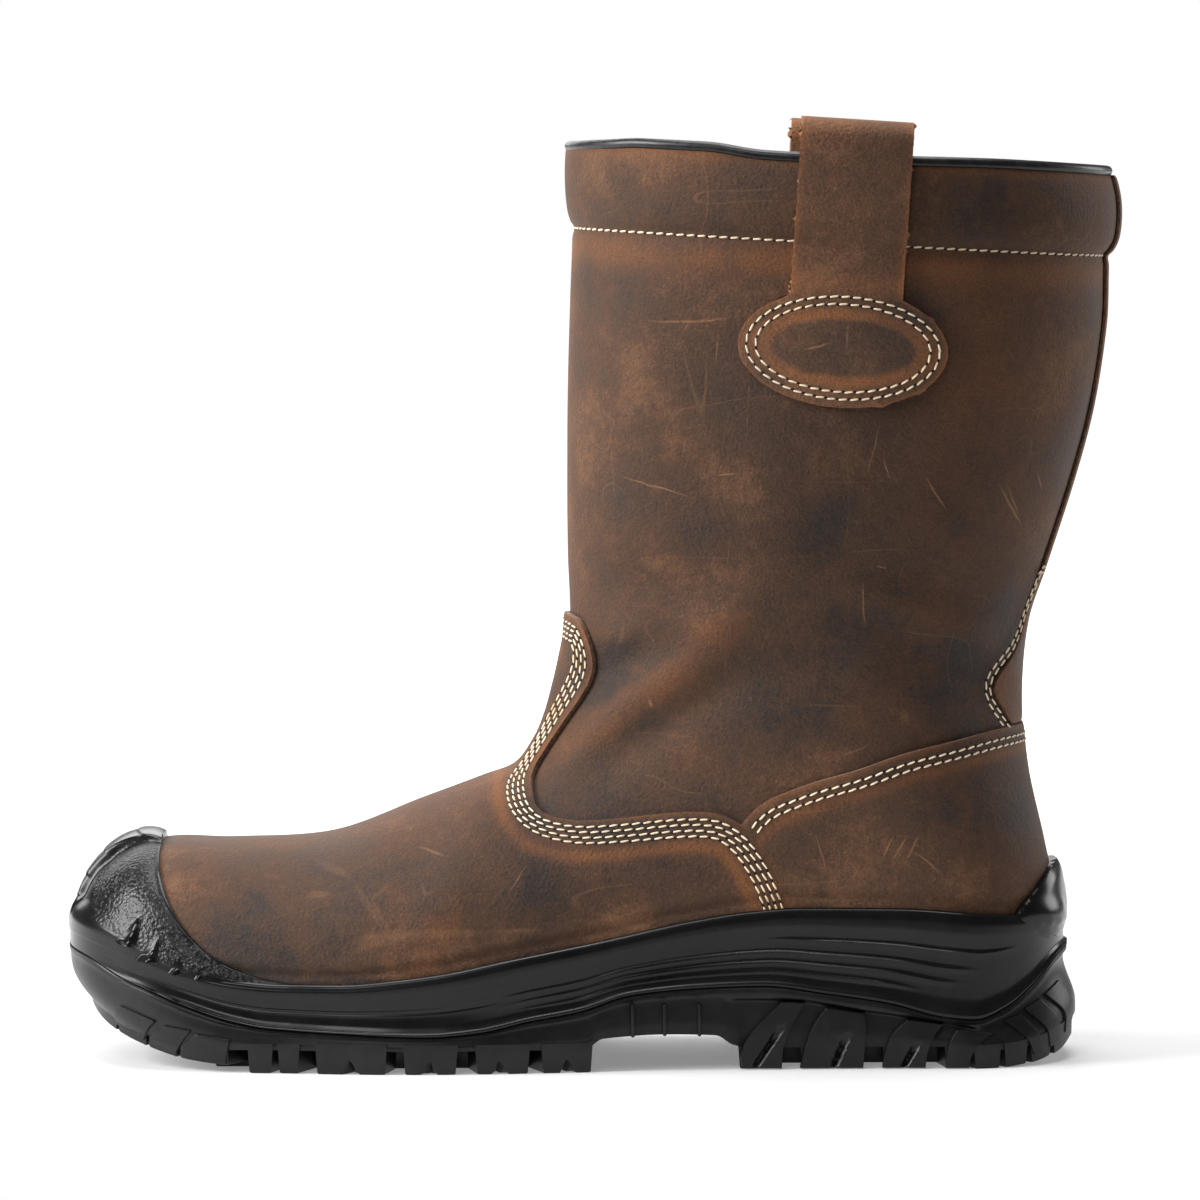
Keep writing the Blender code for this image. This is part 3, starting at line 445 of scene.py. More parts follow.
def read(bm, name):
    """The numbers of a tag."""
    layer = bm.verts.layers.float[name]
    return np.array([vert[layer] for vert in bm.verts])


def untag(bm, *names):
    """Drop tags that only served while the piece was made."""
    for name in names:
        bm.verts.layers.float.remove(bm.verts.layers.float[name])


WELD = 0.00002


def face_out(bm, looks=None, inwards=False):
    """Weld seams and poles and turn the faces outwards; looks(face) is positive where a face looks out."""
    bmesh.ops.remove_doubles(bm, verts=bm.verts, dist=WELD)
    bmesh.ops.recalc_face_normals(bm, faces=bm.faces)
    middle = sum((vert.co for vert in bm.verts), Vector()) / len(bm.verts)

    def from_middle(face):
        return face.normal.dot(face.calc_center_median() - middle) * face.calc_area()

    if (sum(map(looks or from_middle, bm.faces)) < 0.0) != inwards:
        bmesh.ops.reverse_faces(bm, faces=bm.faces)


def piece(name, bm, finishes, stands_for=(), sharp=60.0):
    """Make a smooth object of a bmesh and tie it to the frame."""
    mesh = bpy.data.meshes.new(name)
    bm.to_mesh(mesh)
    bm.free()
    for finish in finishes:
        mesh.materials.append(finish)
    mesh.shade_smooth()
    mesh.set_sharp_from_angle(angle=math.radians(sharp))
    made = bpy.data.objects.new(name, mesh)
    bpy.context.scene.collection.objects.link(made)
    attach(made, "root")
    if stands_for:
        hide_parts(*stands_for)
    mesh.calc_loop_triangles()
    print(name, len(mesh.loop_triangles), "triangles")
    return made


print("helpers for pieces ready")

# %% [markdown]
# ## Brown oiled leather
# This leather is waxed and then rubbed, so it is dark where nothing touched it and rust-coloured wherever
# it was pulled over a seam, bent or scratched. Clouds of four sizes give the mottling. A tag called worn,
# written on each panel from its distance to seams, edges and folds, brings the rust, and a second tag keeps
# the strap's oiled oval dark and paints shade into the middle of each side of the shaft. Thin lines, cut from
# the middle value of a noise, give the finest scratches. An image could carry all this, but nodes stay sharp
# at any size and need no unwrapping.

# %% Tones and scuffs of the leather
DARK_HIDE, MID_HIDE, PALE_HIDE = (0.029, 0.0213, 0.0178), (0.071, 0.0360, 0.0208), (0.148, 0.073, 0.037)
RUST_HIDE, SCRATCH = (0.185, 0.072, 0.027), (0.26, 0.135, 0.066)
CLOUD_WEIGHTS = (1.1, 0.8, 0.42, 0.3)     # of broad clouds, patches, mottling and grain
HAIR_LINES, LINE_BREAKS = 0.2, 27.0
SCUFF_SWAY = 0.003
Scuff = namedtuple("Scuff", "x1 z1 x2 z2 width strength")
SCUFFS = [
    Scuff(10.7, 178.3, 38.2, 169.2, 0.35, 0.7), Scuff(41.7, 177.2, 49.7, 177.8, 0.35, 0.9),
    Scuff(104.2, 178.9, 112.2, 165.7, 0.4, 0.8), Scuff(126.6, 175.5, 135.8, 160.0, 0.6, 0.8),
    Scuff(129.0, 176.0, 134.5, 163.5, 0.4, 0.7), Scuff(138.6, 178.3, 140.9, 171.5, 0.4, 0.7),
    Scuff(85.9, 147.3, 87.5, 130.1, 0.35, 0.7), Scuff(91.0, 194.4, 87.5, 177.2, 0.3, 0.5),
    Scuff(92.2, 183.0, 95.0, 176.6, 0.4, 0.7), Scuff(89.3, 150.8, 93.9, 150.2, 0.3, 0.7),
    Scuff(18.7, 223.2, 50.8, 224.6, 0.6, 0.6), Scuff(43.3, 221.0, 42.1, 210.6, 0.35, 0.6),
    Scuff(23.1, 110.6, 24.2, 106.8, 0.6, 0.9), Scuff(79.5, 93.4, 89.3, 98.0, 0.3, 0.6),
    Scuff(66.9, 215.4, 77.2, 217.6, 0.6, 0.8), Scuff(81.4, 225.0, 80.6, 213.0, 0.5, 0.45),
    Scuff(92.0, 62.0, 97.0, 71.0, 0.45, 0.7), Scuff(95.0, 61.0, 101.0, 71.5, 0.35, 0.7),
    Scuff(98.5, 60.5, 104.0, 71.0, 0.45, 0.6), Scuff(100.0, 67.0, 111.0, 57.5, 0.35, 0.7),
    Scuff(72.0, 71.0, 76.0, 58.0, 0.35, 0.6), Scuff(-78.0, 61.5, -64.5, 57.0, 1.6, 0.16),
    Scuff(-66.5, 58.5, -55.5, 41.0, 1.6, 0.16), Scuff(-61.5, 55.0, -53.0, 38.0, 1.0, 0.16),
    Scuff(-48.0, 66.0, -36.0, 63.5, 0.4, 0.5), Scuff(-20.0, 52.0, -13.0, 62.0, 0.4, 0.4),
]
print(len(SCUFFS), "scuffs placed by hand")

# %% Scratches
def scratches(tree, where, scale, turn, stretch, thin, sparse):
    """Hair lines: where a stretched noise crosses its middle value, broken up by another noise."""
    skewed = put(tree, "Mapping", {"Vector": where, "Rotation": turn, "Scale": stretch}).outputs[0]
    off_middle = combine(tree, "SUBTRACT", clouds(tree, skewed, scale, 1.0, 0.4), 0.5)
    line = span(tree, combine(tree, "ABSOLUTE", off_middle, 0.0), 0.0, thin, 1.0, 0.0)
    broken = span(tree, clouds(tree, where, LINE_BREAKS, 2.0), sparse, sparse + 0.08)
    return combine(tree, "MULTIPLY", line, broken)


def scuff(tree, where, mark):
    """One listed scratch of the outer side, as a thin soft ellipse along its line."""
    middle = ((mark.x1 + mark.x2) / 2.0 - MIDDLE_X, 0.0, (mark.z1 + mark.z2) / 2.0)
    run, climb = mark.x2 - mark.x1, mark.z2 - mark.z1
    inputs = {"Vector": where, "Location": Vector(middle) * MM}
    inputs["Rotation"] = (0.0, -math.atan2(climb, run), 0.0)
    inputs["Scale"] = (math.hypot(run, climb) / 2.0 * MM, 1.0, mark.width * MM)
    local = put(tree, "Mapping", inputs, vector_type="TEXTURE").outputs[0]
    flat = put(tree, "VectorMath", {0: local, 1: (1.0, 0.0, 1.0)}, operation="MULTIPLY").outputs[0]
    off = put(tree, "VectorMath", {0: flat}, operation="LENGTH").outputs["Value"]
    return span(tree, off, 0.3, 1.0, mark.strength, 0.0)


def all_lines(tree, where, grain):
    """Faint hair lines all over, and the scuffs on the outer side."""
    hair = scratches(tree, where, 42.0, (0.2, 0.5, 0.1), (1.0, 1.0, 0.06), 0.005, 0.52)
    fuzz = scratches(tree, where, 50.0, (0.1, -0.9, 0.2), (0.07, 1.0, 1.0), 0.006, 0.50)
    lines = combine(tree, "MULTIPLY", combine(tree, "MAXIMUM", hair, fuzz), HAIR_LINES)
    drift = put(tree, "TexNoise", {"Vector": where, "Scale": 60.0}).outputs["Color"]
    sway = put(tree, "VectorMath", {0: drift, 1: (0.5, 0.5, 0.5)}, operation="SUBTRACT").outputs[0]
    inputs = {0: sway, 1: (SCUFF_SWAY,) * 3, 2: where}
    bent = put(tree, "VectorMath", inputs, operation="MULTIPLY_ADD").outputs[0]
    marks = 0.0
    for mark in SCUFFS:
        marks = combine(tree, "MAXIMUM", scuff(tree, bent, mark), marks)
    marks = combine(tree, "MULTIPLY", marks, span(tree, grain, 0.3, 0.6, 0.45, 1.0))
    outer = span(tree, put(tree, "SeparateXYZ", {0: where}).outputs["Y"], -0.012, -0.004, 1.0, 0.0)
    return combine(tree, "MAXIMUM", lines, combine(tree, "MULTIPLY", marks, outer))


print("scratches ready")

# %% Leather finish
def leather(name, lightness=1.0, rough=0.58):
    """Oiled pull-up leather."""
    material, tree, shader, where = new_finish(name)
    dark, mid, pale, rust = (
        tuple(v * lightness for v in shade) for shade in (DARK_HIDE, MID_HIDE, PALE_HIDE, RUST_HIDE)
    )
    broad, patch = clouds(tree, where, 12.0, 3.0), clouds(tree, where, 36.0, 3.0, 0.55, 0.2)
    fine, grain = clouds(tree, where, 300.0), clouds(tree, where, 1700.0, 3.0, 0.7)
    tone = 0.0
    for cloud, weight in zip((broad, patch, fine, grain), CLOUD_WEIGHTS):
        tone = combine(tree, "ADD", combine(tree, "MULTIPLY", cloud, weight), tone)
    colour = between(tree, span(tree, tone, 0.99, 1.35), dark, mid)
    colour = between(tree, span(tree, tone, 1.30, 1.64), colour, pale)
    rub = combine(tree, "MULTIPLY", tagged(tree, "worn"), span(tree, patch, 0.3, 0.62, 0.45, 1.0))
    smudge = span(tree, clouds(tree, where, 29.0, 4.0, 0.55, 0.6), 0.57, 0.75, 0.0, 0.32)
    rub = combine(tree, "MAXIMUM", rub, smudge)
    rub = combine(tree, "MULTIPLY", rub, span(tree, grain, 0.25, 0.6, 0.75, 1.0))
    colour = between(tree, combine(tree, "MINIMUM", rub, 0.9), colour, rust)
    # painted shade in the middle of the shaft's sides, and the strap's own dark oiled oval, darken the colour
    # here
    colour = between(tree, tagged(tree, "oiled_and_shade"), colour, dark)
    speckled = {0: 1.0, 6: colour, 7: span(tree, grain, 0.32, 0.68, 0.82, 1.18)}
    colour = put(tree, "Mix", speckled, data_type="RGBA", blend_type="MULTIPLY").outputs[2]
    lines = all_lines(tree, where, grain)
    colour = between(tree, lines, colour, SCRATCH)
    tree.links.new(span(tree, tone, 0.95, 1.55, rough - 0.06, rough + 0.1), shader.inputs["Roughness"])
    pores = put(tree, "TexVoronoi", {"Vector": where, "Scale": 900.0}, feature="SMOOTH_F1")
    height = combine(tree, "MULTIPLY", pores.outputs["Distance"], 0.4)
    height = combine(tree, "ADD", height, clouds(tree, where, 1000.0, 5.0, 0.7))
    height = combine(tree, "SUBTRACT", height, combine(tree, "MULTIPLY", lines, 0.5))
    dress(tree, shader, colour, height, 0.55, 0.0008, specular_ior_level=0.2, sheen_weight=0.04,
          sheen_roughness=0.45)
    shader.inputs["Sheen Tint"].default_value = (1.0, 0.78, 0.6, 1.0)
    return material


BROWN_LEATHER = leather("brown_leather")
STRAP_LEATHER = leather("strap_leather", 1.5)
RAW_EDGE = two_tone(
    "raw_edge", (900.0, 4.0, 0.7), (0.040, 0.018, 0.009), (0.21, 0.092, 0.041), (0.6, 0.0005),
    roughness=0.85, sheen_weight=0.25, sheen_roughness=0.5,
)
print("leather finishes", BROWN_LEATHER.name, STRAP_LEATHER.name, RAW_EDGE.name)

# %% [markdown]
# ## Shaft
# The shaft is one wrapped panel that reaches from the collar down under the vamp and the counter. A lofted
# tube would do, but laying a fine grid on the last keeps the same folds in every layer, so no layer cuts
# through the next. The band above the cuff seam is a little padded, and the seam pulls the leather in.

# %% Shaft
SHAFT_ROWS, SHAFT_AROUND, SHAFT_FROM = 230, 260, 7.0
LEATHER_WALL = 2.0
CUFF_SEAM_ROW, WAVE_FROM_ROW = 22.15, 23.0
CUFF_PAD, PAD_POWER, SEAM_PULL, PULL_WIDE = 0.7, 0.7, 0.8, 0.16
RIM_WAVE = [
    (-4.0, 0.0), (8.0, 0.1), (21.0, 0.8), (39.0, 0.8), (57.0, -0.8), (69.0, -0.9), (100.0, -0.3),
    (130.0, 0.3), (165.0, 0.0),
]
RIM_TURN = ((0.5, -0.35), (1.5, -0.35), (LEATHER_WALL, 0.3))     # steps in and down over the collar
COLLAR_OVER = 0.2                                                # edges above this height are the collar


def cuff(row):
    """Padding of the collar band above its seam, and the pull of the seam itself."""
    pad = np.sin(np.pi * np.clip((row - CUFF_SEAM_ROW) / (TOP_ROW - CUFF_SEAM_ROW), 0.0, 1.0))
    return CUFF_PAD * np.clip(pad, 0.0, None) ** PAD_POWER - SEAM_PULL * hump(row, CUFF_SEAM_ROW, PULL_WIDE)


def on_leather(row, turn, out, soft=1.0):
    """Places at a height over the last, with the folds (if soft), the cuff and the waves of the collar."""
    bare = last_point(row, turn)
    places = bare + last_normal(row, turn) * (out + soft * bends(bare) + cuff(row))[:, None]
    places[:, 2] += glide(RIM_WAVE, bare[:, 0]) * ease(row, WAVE_FROM_ROW, TOP_ROW)
    return places


def shaft_worn(row, turn, places):
    """Rust under the cuff seam, at the collar, down the front and on the ridges of folds."""
    rubbed = 0.75 * hump(row, CUFF_SEAM_ROW - 0.42, 0.30) + 0.55 * hump(row, TOP_ROW, 0.35)
    rubbed += 0.3 * hump(turn, 0.5, 0.035) + 0.45 * np.clip(bends(places), 0.0, 1.0)
    return np.clip(rubbed, 0.0, 1.0)


def shaft_painted_shade(places):
    """Painted shade: a broad darkening in the middle of each side."""
    return 0.3 * hump(places[:, 0], 74.0, 42.0) * hump(places[:, 2], 194.0, 36.0)


bm, column, number = grid(SHAFT_ROWS, SHAFT_AROUND)
row = rows_between(SHAFT_FROM, TOP_ROW, SHAFT_ROWS)[column]
turn = number / SHAFT_AROUND
lay(bm, on_leather(row, turn, np.zeros_like(row)))
bare = last_point(row, turn)
tag(bm, "worn", shaft_worn(row, turn, bare))
# painted shade: a broad darkening in the middle of each side of the shaft
tag(bm, "oiled_and_shade", shaft_painted_shade(bare))
tag(bm, "row", row)
tag(bm, "turn", turn)
bmesh.ops.remove_doubles(bm, verts=bm.verts, dist=WELD)
rim = [edge for edge in bm.edges if edge.is_boundary and all(v.co.z > COLLAR_OVER for v in edge.verts)]
for inset, drop in RIM_TURN:
    drawn = bmesh.ops.extrude_edge_only(bm, edges=rim)["geom"]
    rim = [item for item in drawn if isinstance(item, bmesh.types.BMEdge)]
    verts = [item for item in drawn if isinstance(item, bmesh.types.BMVert)]
    layers = [bm.verts.layers.float[key] for key in ("row", "turn")]
    rows_here, turns_here = (np.array([vert[layer] for vert in verts]) for layer in layers)
    moved = on_leather(rows_here, turns_here, np.full(len(verts), -inset))
    moved[:, 2] -= drop
    for vert, place in zip(verts, placed(moved).tolist()):
        vert.co = place
untag(bm, "row", "turn")
face_out(bm)
shaft_tree = BVHTree.FromBMesh(bm)
piece("shaft_leather", bm, [BROWN_LEATHER], ["upper"])

# %% [markdown]
# ## Cutting a panel to its pattern
# Vamp, counter, back stay and the moulded guards are all patches with a curved edge. Each is a grid on the
# last: faces outside the pattern are deleted, the points left over the edge slide back along the last until
# they lie on it, and the border is extruded down to give the cut edge its thickness. A boolean would cut the
# same shape, but it leaves no neat border to sew beside.

# %% Curves and patterns
Pattern = namedtuple("Pattern", "edge outline axes")
SIDE_VIEW, BACK_VIEW = [0, 2], [1, 2]
FAR = 220.0


def curve_through(points, step=1.2):
    """A smooth line through a few points, with a point about every step."""
    spots = np.array(points, float)
    spots = np.vstack([2.0 * spots[0] - spots[1], spots, 2.0 * spots[-1] - spots[-2]])
    parts = []
    for a, b, c, d in zip(spots, spots[1:], spots[2:], spots[3:]):
        count = max(2, int(np.linalg.norm(c - b) / step))
        t = np.linspace(0.0, 1.0, count, endpoint=False)[:, None]
        curve = 2.0 * b + (c - a) * t + (2.0 * a - 5.0 * b + 4.0 * c - d) * t ** 2
        parts.append((curve + (3.0 * b - a - 3.0 * c + d) * t ** 3) / 2.0)
    return np.vstack(parts + [spots[-2:-1]])


def nearest_on(line, spots):
    """The nearest place on a line to each spot, and its distance."""
    best, place = np.full(len(spots), np.inf), np.zeros_like(spots)
    for a, b in zip(line, line[1:]):
        share = np.clip((spots - a) @ (b - a) / ((b - a) @ (b - a)), 0.0, 1.0)
        close = a + share[:, None] * (b - a)
        distance = np.linalg.norm(spots - close, axis=1)
        nearer = distance < best
        best[nearer], place[nearer] = distance[nearer], close[nearer]
    return place, best


def within(outline, spots):
    """True for spots inside an outline."""
    odd = np.zeros(len(spots), bool)
    for (x1, z1), (x2, z2) in zip(outline, np.roll(outline, -1, axis=0)):
        if z1 != z2:
            crosses = (z1 > spots[:, 1]) != (z2 > spots[:, 1])
            odd ^= crosses & (spots[:, 0] < x1 + (spots[:, 1] - z1) / (z2 - z1) * (x2 - x1))
    return odd


def depth_in(pattern, places):
    """Distance from the pattern's edge, positive inside it."""
    spots = places[:, pattern.axes]
    return np.where(within(pattern.outline, spots), 1.0, -1.0) * nearest_on(pattern.edge, spots)[1]


print("pattern helpers ready")

# %% Cutting a panel
HOLD_ROW, HOLD_TURN, MOST_ROW, MOST_TURN = 0.5, 60.0, 0.25, 0.02
INSIDE_BOOT = Vector((0.03, 0.0, 0.08))


def settle(row, turn, target, axes, rounds=10):
    """Slide points along the last until they show at their targets, by damped least squares."""
    row, turn = row.copy(), turn.copy()
    row_step, turn_step = 0.01, 0.0005
    for _ in range(rounds):
        here = last_point(row, turn)[:, axes]
        miss = target - here
        by_row = (last_point(np.minimum(row + row_step, TOP_ROW), turn)[:, axes] - here) / row_step
        by_turn = (last_point(row, turn + turn_step)[:, axes] - here) / turn_step
        a, b = (by_row ** 2).sum(1) + HOLD_ROW, (by_row * by_turn).sum(1)
        c = (by_turn ** 2).sum(1) + HOLD_TURN
        p, q = (by_row * miss).sum(1), (by_turn * miss).sum(1)
        det = a * c - b * b
        row += np.clip((c * p - b * q) / det, -MOST_ROW, MOST_ROW)
        turn += np.clip((a * q - b * p) / det, -MOST_TURN, MOST_TURN)
        row = np.clip(row, 0.0, TOP_ROW)
    return row, turn


def cut_panel(pattern, rows, turns, counts, under, top, worn=None, roll=0.4, reach=0.7, keep=None,
              soft=1.0, edge_finish=1):
    """A patch of the last trimmed to a pattern: under and top are its heights, roll and reach its edge."""
    bm, column, number = grid(*counts)
    row = rows_between(*rows, counts[0])[column]
    turn = turns[0] + (turns[1] - turns[0]) * number / counts[1]
    places = last_point(row, turn)
    depth = depth_in(pattern, places)
    gone = depth < 0.0
    if keep is not None:
        gone |= ~keep(places)
        depth = np.where(keep(places), depth, -FAR)
    tag(bm, "row", row)
    tag(bm, "turn", turn)
    tag(bm, "depth", depth)
    bm.verts.index_update()
    spare = [face for face in bm.faces if all(gone[vert.index] for vert in face.verts)]
    bmesh.ops.delete(bm, geom=spare, context="FACES")
    row, turn, depth = (read(bm, key) for key in ("row", "turn", "depth"))
    over = (depth < 0.0) & (depth > -FAR / 2.0)
    target = nearest_on(pattern.edge, last_point(row[over], turn[over])[:, pattern.axes])[0]
    row[over], turn[over] = settle(row[over], turn[over], target, pattern.axes)
    tag(bm, "row", row)
    tag(bm, "turn", turn)
    tag(bm, "depth", np.where(over, 0.0, depth))
    tag(bm, "cut", np.zeros_like(row))
    bm.verts.index_update()
    border = [e for e in bm.edges if e.is_boundary and over[e.verts[0].index] and over[e.verts[1].index]]
    drawn = bmesh.ops.extrude_edge_only(bm, edges=border)["geom"]
    cut = bm.verts.layers.float["cut"]
    for item in drawn:
        if isinstance(item, bmesh.types.BMVert):
            item[cut] = 1.0
        elif isinstance(item, bmesh.types.BMFace):
            item.material_index = edge_finish
    row, turn, depth, low = (read(bm, key) for key in ("row", "turn", "depth", "cut"))
    height = top(row, turn) if callable(top) else np.full_like(row, top)
    height = height - roll * np.exp(-np.abs(depth) / reach)
    lay(bm, on_leather(row, turn, np.where(low > 0.5, under, height), soft))
    if worn:
        tag(bm, "worn", np.clip(worn(row, turn, depth), 0.0, 1.0))
    untag(bm, "row", "turn", "depth", "cut")
    face_out(bm, lambda face: face.normal.dot(face.calc_center_median() - INSIDE_BOOT))
    return bm


print("panel cutter ready")

# %% [markdown]
# ## Vamp, counter and back stay
# The vamp runs over the foot and up the shin in an S-curve, the counter wraps the heel, and the back stay
# covers the shaft's back seam and flares out over the counter. Their edges are drawn as points in the side
# view, or in the back view for the stay. Along each seam the leather is rubbed to rust, just past the last
# row of stitches.

# %% Vamp, counter and back stay
GAP, OVERLAY = 0.3, 1.8
OVERLAY_TOP = GAP + OVERLAY
COUNTER_TOP, STAY_TOP = OVERLAY_TOP - 0.25, OVERLAY_TOP - 0.6
VAMP_POINTS = [
    (-0.3, 134.3), (3.1, 132.6), (5.8, 127.6), (6.8, 122.0), (5.8, 115.4), (2.5, 108.2), (-2.2, 100.3),
    (-6.9, 93.0), (-10.6, 87.1), (-11.9, 82.7), (-10.9, 77.4), (-6.9, 74.3), (2.5, 73.0), (15.8, 74.1),
    (29.1, 75.7), (39.1, 76.3), (45.8, 75.3), (51.1, 72.3), (55.8, 67.5), (60.4, 60.2), (63.1, 54.1),
    (64.8, 49.3), (66.0, 44.0),
]
COUNTER_POINTS = [
    (44.0, 64.0), (48.0, 69.8), (51.1, 73.5), (54.7, 77.4), (59.9, 80.9), (71.5, 85.6), (85.3, 89.7),
    (99.0, 94.3), (112.9, 97.4), (127.1, 100.3), (137.9, 101.1),
]
STAY_POINTS = [
    (16.0, 101.5), (19.5, 106.0), (22.5, 112.0), (20.0, 117.5), (14.5, 124.0), (10.5, 132.0), (9.0, 146.0),
    (9.0, 180.0), (9.0, 220.0), (9.0, 266.5),
]

vamp_edge = curve_through(VAMP_POINTS)
vamp_pattern = Pattern(
    np.vstack([[-FAR, 134.3], vamp_edge]),
    np.vstack([[-FAR, 134.3], vamp_edge, [66.0, 0.0], [-FAR, 0.0]]), SIDE_VIEW,
)
counter_edge = curve_through(COUNTER_POINTS)
counter_pattern = Pattern(
    np.vstack([counter_edge, [FAR, 101.1]]),
    np.vstack([counter_edge, [FAR, 101.1], [FAR, 0.0], [44.0, 0.0]]), SIDE_VIEW,
)
stay_edge = curve_through(STAY_POINTS)
stay_ring = np.vstack([stay_edge, (stay_edge * [-1.0, 1.0])[::-1]])
stay_pattern = Pattern(np.vstack([stay_ring, stay_ring[:1]]), stay_ring, BACK_VIEW)


def vamp_worn(row, turn, depth):
    """Rust past the fourth row of stitches and along the edge."""
    return 0.95 * hump(depth, 10.3, 2.1) + 0.9 * np.exp(-depth / 0.8) + 0.2 * hump(turn, 0.5, 0.05)


def counter_worn(row, turn, depth):
    """Rust under the second row of stitches and along the edge."""
    return 0.65 * hump(depth, 7.4, 1.8) + 0.9 * np.exp(-depth / 0.8)


def stay_worn(row, turn, depth):
    """A rubbed line along both edges."""
    return 0.5 * np.exp(-depth / 1.2) + 0.3


bm = cut_panel(vamp_pattern, (1.0, 17.2), (0.03, 0.97), (230, 230), GAP, OVERLAY_TOP, vamp_worn)
piece("vamp_leather", bm, [BROWN_LEATHER, RAW_EDGE], ["vamp"])
bm = cut_panel(counter_pattern, (8.6, 17.0), (-0.33, 0.33), (190, 230), GAP, COUNTER_TOP, counter_worn)
piece("counter_leather", bm, [BROWN_LEATHER, RAW_EDGE], ["counter"])
bm = cut_panel(
    stay_pattern, (13.6, TOP_ROW), (-0.09, 0.09), (230, 52), GAP, STAY_TOP, stay_worn,
    keep=lambda places: places[:, 0] > 60.0,
)
piece("back_stay_leather", bm, [BROWN_LEATHER, RAW_EDGE], ["back_stay"])

# %% [markdown]
# ## The sole's outline
# The sole is one outline, seen from above, that is carried up and down its side. Toe and heel are rounded
# ends and the widths between come from a few stations. Reading the tables with a curve that never swings
# past its rows keeps the long lines of the sole clean.

# %% Sole outline
SOLE_WIDTHS = [
    (-85.0, 54.5, 52.5), (-70.0, 56.2, 53.0), (-55.0, 57.0, 52.3), (-40.0, 56.8, 50.5), (-25.0, 55.5, 48.0),
    (-10.0, 53.3, 45.5), (6.5, 50.4, 43.3), (27.0, 47.0, 41.8), (44.0, 45.0, 41.3), (65.0, 43.6, 41.0),
    (80.0, 42.8, 41.0), (95.0, 42.2, 41.0), (110.0, 41.8, 41.0),
]
TOE_ROUND, HEEL_ROUND, TOE_SQUARE, HEEL_SQUARE = 68.0, 40.0, 2.6, 2.1
TOE_POINTS, SIDE_POINTS, HEEL_POINTS = 70, 190, 60
PARTING = [
    (-153.0, 34.0), (-146.0, 32.2), (-135.6, 27.1), (-127.2, 23.9), (-117.7, 20.2), (-101.6, 15.1),
    (-90.0, 13.0), (-69.0, 11.8), (-43.0, 10.9), (-28.0, 12.1), (-12.5, 15.4), (2.3, 18.0), (17.5, 22.6),
    (38.0, 24.4), (57.0, 24.9), (76.0, 22.5), (95.0, 19.5), (110.6, 15.5), (120.6, 14.5), (130.0, 17.9),
    (138.0, 23.9), (146.6, 32.5), (150.0, 34.3),
]


def rounded_end(count, power):
    """A quarter of a rounded end: how far out it reaches and how wide it is, from its tip."""
    angle = np.linspace(np.pi / 2.0, 0.0, count, endpoint=False)
    reach = (np.sin(angle) ** power + np.cos(angle) ** power) ** (-1.0 / power)
    return np.sin(angle) * reach, np.clip(np.cos(angle), 0.0, None) * reach


toe_reach, toe_width = rounded_end(TOE_POINTS, TOE_SQUARE)
heel_reach, heel_width = (part[::-1] for part in rounded_end(HEEL_POINTS, HEEL_SQUARE))
side_x = np.linspace(SOLE_WIDTHS[0][0], SOLE_WIDTHS[-1][0], SIDE_POINTS)
station_x = np.concatenate(
    [SOLE_WIDTHS[0][0] - TOE_ROUND * toe_reach, side_x, SOLE_WIDTHS[-1][0] + HEEL_ROUND * heel_reach]
)
half_width = {
    side: np.concatenate([
        SOLE_WIDTHS[0][value] * toe_width,
        glide(SOLE_WIDTHS, side_x, value),
        SOLE_WIDTHS[-1][value] * heel_width,
    ])
    for side, value in ((-1, 1), (1, 2))
}
edge_x = np.concatenate([station_x, station_x[-2:0:-1]])
edge_y = np.concatenate([
    swing(station_x) - half_width[-1], (swing(station_x) + half_width[1])[-2:0:-1]
])
sole_edge = np.stack([edge_x, edge_y], axis=1)
along_edge = np.roll(sole_edge, -1, axis=0) - np.roll(sole_edge, 1, axis=0)
edge_out = np.stack([along_edge[:, 1], -along_edge[:, 0]], axis=1)
edge_out /= np.linalg.norm(edge_out, axis=1, keepdims=True)
print("sole outline of", len(sole_edge), "points")

# %% [markdown]
# ## Black moulding and rubber
# The midsole is a foamed skin straight from the mould: black, satin, with hardly any texture. The outsole is
# duller rubber. Both get a faint cloud in roughness and a very fine bump, which breaks up the reflections of
# the softboxes as a moulded skin does. The toe guard's tag, pebble, turns on a coarse moulded grain, and the
# tops of its pebbles get a paler colour as painted glints.

# %% Sole finishes
# painted glint: the paler colour given to the tops of the pebbles
PAINTED_PEBBLE_GLINT = (0.060, 0.060, 0.064)


